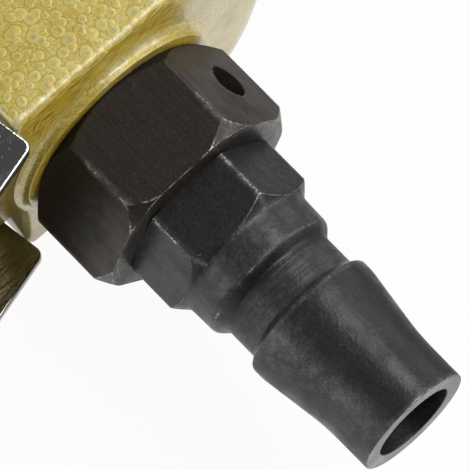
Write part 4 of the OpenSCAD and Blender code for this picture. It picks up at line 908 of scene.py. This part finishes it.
plug_grey = (0.0165, 0.0182, 0.0174, 1.0)
plug_dark = (0.007, 0.0075, 0.007, 1.0)
ground_steel = (0.25, 0.246, 0.236, 1.0)
groove_shade_black = (0.002, 0.002, 0.0018, 1.0)
plug_black, shader = metal_finish(
    "plug_black", plug_grey, plug_dark, rubbed_steel, 0.34, 0.0, (3400.0, 40.0, 40.0), 0.00004, 0.003, True
)
overlay(shader, "ground", ground_steel)
# Painted shade in the groove.
overlay(shader, "groove_shade", groove_shade_black)
air_plug.data.materials.append(plug_black)
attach(air_plug, "housing")
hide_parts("air_plug")


# Throttle lever
# Steel sheet 1.2 mm thick, cut to a blank with rounded ends, bent to a channel and chromed.
# It swings on a pin through the housing's lug, and is drawn pressed and then swung open.
lever_half = 13.2
lever_top = 22.9
lever_bend = 1.9
lever_edge = 11.35
lever_front_edge = 17.8
lever_length = 99.8
lever_rear_x = -199.8
lever_front_x = -100.0
lever_lean = 1.3
lever_lean_length = 12.0
lever_step_rear_x = -164.3
lever_step_front_x = -158.3
lever_nose = 8.0
lever_nose_inset = 5.0
lever_open = np.radians(8.5)
lever_sheet = 1.2
lever_edge_round = 0.32
lever_edge_power = 3.5
lever_corner = 0.9
nominal_blank_half = 23
web_half = lever_half - lever_bend
bend_length = lever_bend * np.pi / 2


def lever_section(run):
    """A point of the bent sheet's middle at a distance along it from the middle of the web: flat across, then
    a quarter circle, then straight down the flange. Returns height and side, and the way out of the sheet."""
    past = np.abs(run) - web_half
    turn = np.clip(past / lever_bend, 0, np.pi / 2)
    side = np.minimum(np.abs(run), web_half) + lever_bend * np.sin(turn)
    height = lever_top - lever_bend * (1 - np.cos(turn)) - np.maximum(past - bend_length, 0)
    return height, np.sign(run) * side, np.cos(turn), np.sign(run) * np.sin(turn)


edge_steps = np.array([0, 0.003, 0.01, 0.03, 0.06, 0.1, 0.15, 0.22, 0.3, 0.4, 0.6, 0.9, 1.7, 3.0, 5.0])
lever_run = np.concatenate([
    edge_steps, np.linspace(7.5, 92.0, 106), lever_length - edge_steps[::-1],
])[:, None]
lever_x = lever_rear_x + lever_run
flange_step = eased(lever_x, lever_step_rear_x, lever_step_front_x)
flange_edge = lever_edge + (lever_front_edge - lever_edge) * flange_step
blank_half = web_half + bend_length + lever_top - lever_bend - flange_edge
nose_share = np.clip((lever_x - lever_front_x + lever_nose) / lever_nose, 0, 1)
nose_half = web_half - lever_nose_inset
blank_half = nose_half + (blank_half - nose_half) * np.sqrt(np.maximum(1 - nose_share ** 2, 0))
tail_share = np.clip(1 - lever_run / lever_corner, 0, 1)
cut_half = blank_half - lever_corner * (1 - np.sqrt(1 - tail_share ** 2))
half_share = np.concatenate([
    np.linspace(0, 0.46, 10), np.linspace(0.48, 0.62, 11), np.linspace(0.65, 0.95, 11),
    1 - edge_steps[10::-1] / nominal_blank_half,
])
lever_share = np.concatenate([-half_share[:0:-1], half_share])[None, :]
across = cut_half * lever_share
from_side = blank_half - np.abs(across)
from_tail_corner = lever_corner - np.hypot(lever_corner - lever_run, lever_corner - from_side)
in_corner = (lever_run < lever_corner) & (from_side < lever_corner)
from_cut = np.where(in_corner, from_tail_corner, np.minimum(lever_run, from_side))
from_cut = np.minimum(from_cut, lever_front_x - lever_x)
cut_share = np.clip(from_cut / lever_edge_round, 0, 1)
half_sheet = lever_sheet / 2 * (1 - (1 - cut_share) ** lever_edge_power) ** (1 / lever_edge_power)
on_rim = np.zeros(half_sheet.shape, bool)
on_rim[[0, -1], :] = True
on_rim[:, [0, -1]] = True
half_sheet = np.where(on_rim, 0.0, half_sheet)
middle_height, middle_side, out_height, out_side = lever_section(across)


def lever_face(way):
    """Points of the sheet's outer face for way 1 and inner face for way -1: half the sheet's thickness, which
    falls off steeply at its rim, out from its middle. The tail leans, and the whole is swung open."""
    height = middle_height + way * half_sheet * out_height
    side = middle_side + way * half_sheet * out_side
    lean = lever_lean * np.clip((lever_top - height) / (lever_top - lever_edge), 0, 1)
    along = lever_x + lean * np.clip(1 - lever_run / lever_lean_length, 0, 1) - lug_x
    swung_x = lug_x + along * np.cos(lever_open) - (height - lug_y) * np.sin(lever_open)
    swung_y = lug_y + along * np.sin(lever_open) + (height - lug_y) * np.cos(lever_open)
    return np.stack([swung_x, swung_y, side], axis=-1).reshape(-1, 3)


outer_points = np.arange(half_sheet.size).reshape(half_sheet.shape)
inner_points = np.where(on_rim, outer_points, outer_points + half_sheet.size)
lever_faces = np.concatenate([
    np.stack([face[:-1, :-1], face[1:, :-1], face[1:, 1:], face[:-1, 1:]], axis=-1).reshape(-1, 4)[:, ::turn]
    for face, turn in ((outer_points, 1), (inner_points, -1))
])
lever_used, lever_faces = np.unique(lever_faces, return_inverse=True)
lever_places = np.concatenate([lever_face(1), lever_face(-1)])[lever_used]
rippled = 0.1 + 0.9 * bell(lever_run, 0, 5) * np.clip((np.abs(across) - web_half) / bend_length, 0, 1)
lever_satin = 1 - np.tile(rippled.ravel(), 2)[lever_used]
# The sheet's inner face, which takes painted shade below.
lever_inner_shade = np.repeat([0.0, 1.0], half_sheet.size)[lever_used]
throttle_lever = closed_mesh(
    "lever_sheet", lever_places, lever_faces.reshape(-1, 4), {"satin": lever_satin, "inside": lever_inner_shade},
    np.zeros(len(lever_used), bool),
)

chrome_bright = (0.78, 0.79, 0.79, 1.0)
chrome_dull = (0.66, 0.66, 0.65, 1.0)
chrome_shaded = (0.3, 0.285, 0.25, 1.0)
lever_chrome, shader = metal_finish(
    "lever_chrome", chrome_bright, chrome_dull, chrome_bright, 0.08, 1.0, (1500.0, 260.0, 260.0), 0.00003,
    0.012,
)
# Painted shade: the inner faces of the channel take a darker, browner chrome.
overlay(shader, "inside", chrome_shaded)
throttle_lever.data.materials.append(lever_chrome)
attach(throttle_lever, "lever")
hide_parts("throttle_lever")


# Gear case
# Turned from steel bar and screwed to the front of the housing, with two narrow flats to rest on.
# It holds the spindle's bearings and the ring gear.
case_front_x = -47.5
case_wall_x = -49.0
case_r = 19.5
case_inside_r = 17.5
case_bore_r = 11.0
case_bore_chamfer = 0.4
case_round = 1.2
case_groove_x = -84.6
case_groove_half = 0.35
case_groove_depth = 0.5
case_rows = np.sort(np.concatenate([
    np.linspace(barrel_front_x, case_front_x - case_round, 60)[:-1],
    case_groove_x + np.linspace(-0.8, 0.8, 17),
]))[::-1]
case_x = np.concatenate([case_front_x - case_round * (1 - np.sin(arc))[::-1], case_rows])
case_inset = np.concatenate([case_round * (1 - np.cos(arc))[::-1], np.zeros(len(case_rows))])
case_groove = case_groove_depth * bell(case_x, case_groove_x, case_groove_half, 4)
case_bar = smooth_min(case_r, between_flats(around, rest_flat), 0.1)
case_outer = case_bar[None, :] - (case_inset + case_groove)[:, None]
case_inner = np.array([
    (barrel_front_x, case_inside_r), (-70.0, case_inside_r), (case_wall_x, case_inside_r),
    (case_wall_x, case_bore_r), (case_front_x, case_bore_r), (case_front_x, case_bore_r + case_bore_chamfer),
])
case_edge = np.concatenate([bell(case_x, case_front_x - 0.4, 0.5), np.zeros(len(case_inner))])
gear_case = skin("gear_case_shell", round_body(
    np.concatenate([case_x, case_inner[:, 0]])[:, None],
    np.concatenate([case_outer, np.repeat(case_inner[:, 1:], len(around), axis=1)]), around[None, :],
), {"edge": case_edge[:, None]})
case_grey = (0.36, 0.36, 0.35, 1.0)
case_tarnish = (0.26, 0.255, 0.245, 1.0)
steel_bright = (0.62, 0.61, 0.59, 1.0)
case_steel = metal_finish(
    "case_steel", case_grey, case_tarnish, steel_bright, 0.3, 1.0, (4200.0, 60.0, 60.0), 0.00001
)[0]
gear_case.data.materials.append(case_steel)
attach(gear_case, "housing")
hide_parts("gear_case")


# Sleeve of the chuck
# Turned and ground steel, turned by a key whose teeth mesh with the bevelled ring of teeth at its front.
# A band behind the teeth is knurled for the hand.
sleeve_front_x = -12.5
sleeve_rear_x = -36.0
sleeve_r = 18.0
sleeve_bore_r = 16.05
sleeve_bevel_r = 16.35
sleeve_back_bevel = 1.2
sleeve_teeth = 24
tooth_ring = 3.0
tooth_depth = 1.1
knurl_front_x = -20.0
knurl_rear_x = -31.5
knurl_ridges = 96
knurl_depth = 0.22
sleeve_outline = rounded_outline(
    [(sleeve_front_x, sleeve_bore_r), (sleeve_front_x, sleeve_bevel_r),
     (sleeve_front_x - tooth_ring, sleeve_r), (sleeve_rear_x + sleeve_back_bevel, sleeve_r),
     (sleeve_rear_x, sleeve_r - sleeve_back_bevel), (sleeve_rear_x, sleeve_bore_r)],
    [0.1, 0.1, 0.25, 0.4, 0.3, 0.1], [0.2, 0.2, 0.22, 0.3, 0.5, 2.0],
)
sleeve_angles = np.linspace(0, 2 * np.pi, 768, endpoint=False)[None, :]
sleeve_x = sleeve_outline[:, :1]
sleeve_blank = sleeve_outline[:, 1:]
bevel_slope = (sleeve_r - sleeve_bevel_r) / tooth_ring
bevel_line = sleeve_bevel_r + (sleeve_front_x - sleeve_x) * bevel_slope
tooth_turn = 2 * np.pi / sleeve_teeth
from_groove = np.abs(np.mod(sleeve_angles, tooth_turn) - tooth_turn / 2) * sleeve_bevel_r
sleeve_grooves = bevel_line - tooth_depth * np.hypot(1, bevel_slope) + from_groove
sleeve_toothed = smooth_min(sleeve_blank, np.maximum(sleeve_grooves, sleeve_bore_r + 0.15), 0.2)
in_knurl = np.clip(np.minimum(knurl_front_x - sleeve_x, sleeve_x - knurl_rear_x) / 0.3, 0, 1)
knurl_run = knurl_ridges * sleeve_angles
knurl_lead = knurl_ridges / sleeve_r * (sleeve_x - knurl_front_x)
knurl_waves = np.maximum(np.cos((knurl_run + knurl_lead) / 2) ** 2, np.cos((knurl_run - knurl_lead) / 2) ** 2)
knurled = sleeve_toothed - knurl_depth * in_knurl * knurl_waves ** 4
outer_sleeve = sleeve_blank > sleeve_bore_r + 0.05
sleeve_shape = np.where(outer_sleeve, knurled, sleeve_blank)
sleeve_edge = np.where(outer_sleeve, bell(sleeve_blank, sleeve_grooves, 0.12), 0.0)
chuck_sleeve = skin(
    "chuck_sleeve_ring", round_body(sleeve_x, sleeve_shape, sleeve_angles), {"edge": sleeve_edge}
)
sleeve_grey = (0.34, 0.34, 0.335, 1.0)
sleeve_tarnish = (0.25, 0.25, 0.245, 1.0)
chuck_steel = metal_finish(
    "chuck_steel", sleeve_grey, sleeve_tarnish, steel_bright, 0.26, 1.0, (3600.0, 90.0, 90.0), 0.000008
)[0]
chuck_sleeve.data.materials.append(chuck_steel)
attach(chuck_sleeve, "sleeve")
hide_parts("chuck_sleeve")


# Spring of the valve
# Four turns of round wire between the screwed cap and the valve's head, with the end turns wound closer.
# It shortens as the lever pushes the valve open.
spring_x = -168.025
spring_low = -15.58
spring_high = -7.86
spring_r = 3.6
spring_wire_r = 0.4
spring_turns = 4
wire_sides = 12
spring_share = np.linspace(0, 1, 48 * spring_turns + 1)[:, None]
wire_turn = np.linspace(0, 2 * np.pi, wire_sides, endpoint=False)[None, :]
wire_rise = spring_share - 0.5 * np.sin(2 * np.pi * spring_share) / (2 * np.pi)
wire_y = spring_low + spring_wire_r + (spring_high - spring_low - 2 * spring_wire_r) * wire_rise
wire_reach = spring_r + spring_wire_r * np.cos(wire_turn)
spring_turn = 2 * np.pi * spring_turns * spring_share
spring_places = np.stack([
    spring_x + wire_reach * np.cos(spring_turn), wire_y + spring_wire_r * np.sin(wire_turn),
    wire_reach * np.sin(spring_turn),
], axis=-1).reshape(-1, 3)
ring_start = np.arange(len(spring_share))[:, None] * wire_sides + np.arange(wire_sides)[None, :]
ring_next = np.roll(ring_start, -1, axis=1)
wire_walls = np.stack([ring_start[:-1], ring_next[:-1], ring_next[1:], ring_start[1:]], axis=-1)
cap_start = np.arange(1, wire_sides - 2, 2)
wire_cap = np.stack([0 * cap_start, cap_start, cap_start + 1, cap_start + 2], axis=-1)
valve_spring = closed_mesh(
    "valve_spring_wire", spring_places,
    np.concatenate([wire_walls.reshape(-1, 4), wire_cap[:, ::-1], ring_start[-1, 0] + wire_cap]), {},
    np.zeros(len(spring_places), bool),
)
spring_grey = (0.4, 0.4, 0.4, 1.0)
spring_tarnish = (0.28, 0.28, 0.28, 1.0)
spring_steel = metal_finish(
    "spring_steel", spring_grey, spring_tarnish, steel_bright, 0.25, 1.0, (1500.0, 1500.0, 1500.0), 0.000004
)[0]
valve_spring.data.materials.append(spring_steel)
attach(valve_spring, "housing")
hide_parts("valve_spring")
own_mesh(valve_spring)


# Pieces shown as they are in the solid model
# The chuck's body and jaws, valve, gears, bearings, motor and seals keep their solids.
# Each takes the finish of its own slot: machined steel, brass, rubber, felt or phenolic.
solid_finishes = {
    "jaw_steel": ((0.2, 0.195, 0.185, 1), (0.12, 0.118, 0.11, 1), 0.34, 1.0, (120, 3000, 3000), 0.00001),
    "gear_steel": ((0.3, 0.3, 0.29, 1), (0.2, 0.2, 0.19, 1), 0.32, 1.0, (2600, 400, 400), 0.000006),
    "bearing_steel": ((0.5, 0.5, 0.49, 1), (0.4, 0.4, 0.39, 1), 0.2, 1.0, (5000, 50, 50), 0.000004),
    "motor_iron": ((0.22, 0.21, 0.2, 1), (0.14, 0.13, 0.12, 1), 0.42, 1.0, (900, 900, 900), 0.00001),
    "brass": ((0.62, 0.44, 0.16, 1), (0.45, 0.3, 0.1, 1), 0.28, 1.0, (3400, 100, 100), 0.000006),
    "seal_rubber": ((0.02, 0.02, 0.02, 1), (0.03, 0.029, 0.028, 1), 0.6, 0.0, (700, 700, 700), 0.00001),
    "seal_felt": ((0.24, 0.22, 0.18, 1), (0.16, 0.145, 0.12, 1), 0.9, 0.0, (2400, 2400, 2400), 0.00006),
    "vane_phenolic": ((0.12, 0.06, 0.025, 1), (0.08, 0.04, 0.018, 1), 0.5, 0.0, (300, 4000, 300), 0.00001),
}
made_finishes = {
    "hammered_gold": hammered_gold, "case_steel": case_steel, "bushing_black": bushing_black,
    "plug_black": plug_black, "lever_chrome": lever_chrome, "chuck_steel": chuck_steel,
    "spring_steel": spring_steel,
}
for name, (colour, tarnish, *surface) in solid_finishes.items():
    made_finishes[name] = metal_finish(name, colour, tarnish, steel_bright, *surface)[0]
for part in frame["record"]["subparts"]:
    solid = frame["nodes"][part["node"]]
    solid.data.materials.clear()
    solid.data.materials.append(made_finishes[part["material_slot"]])
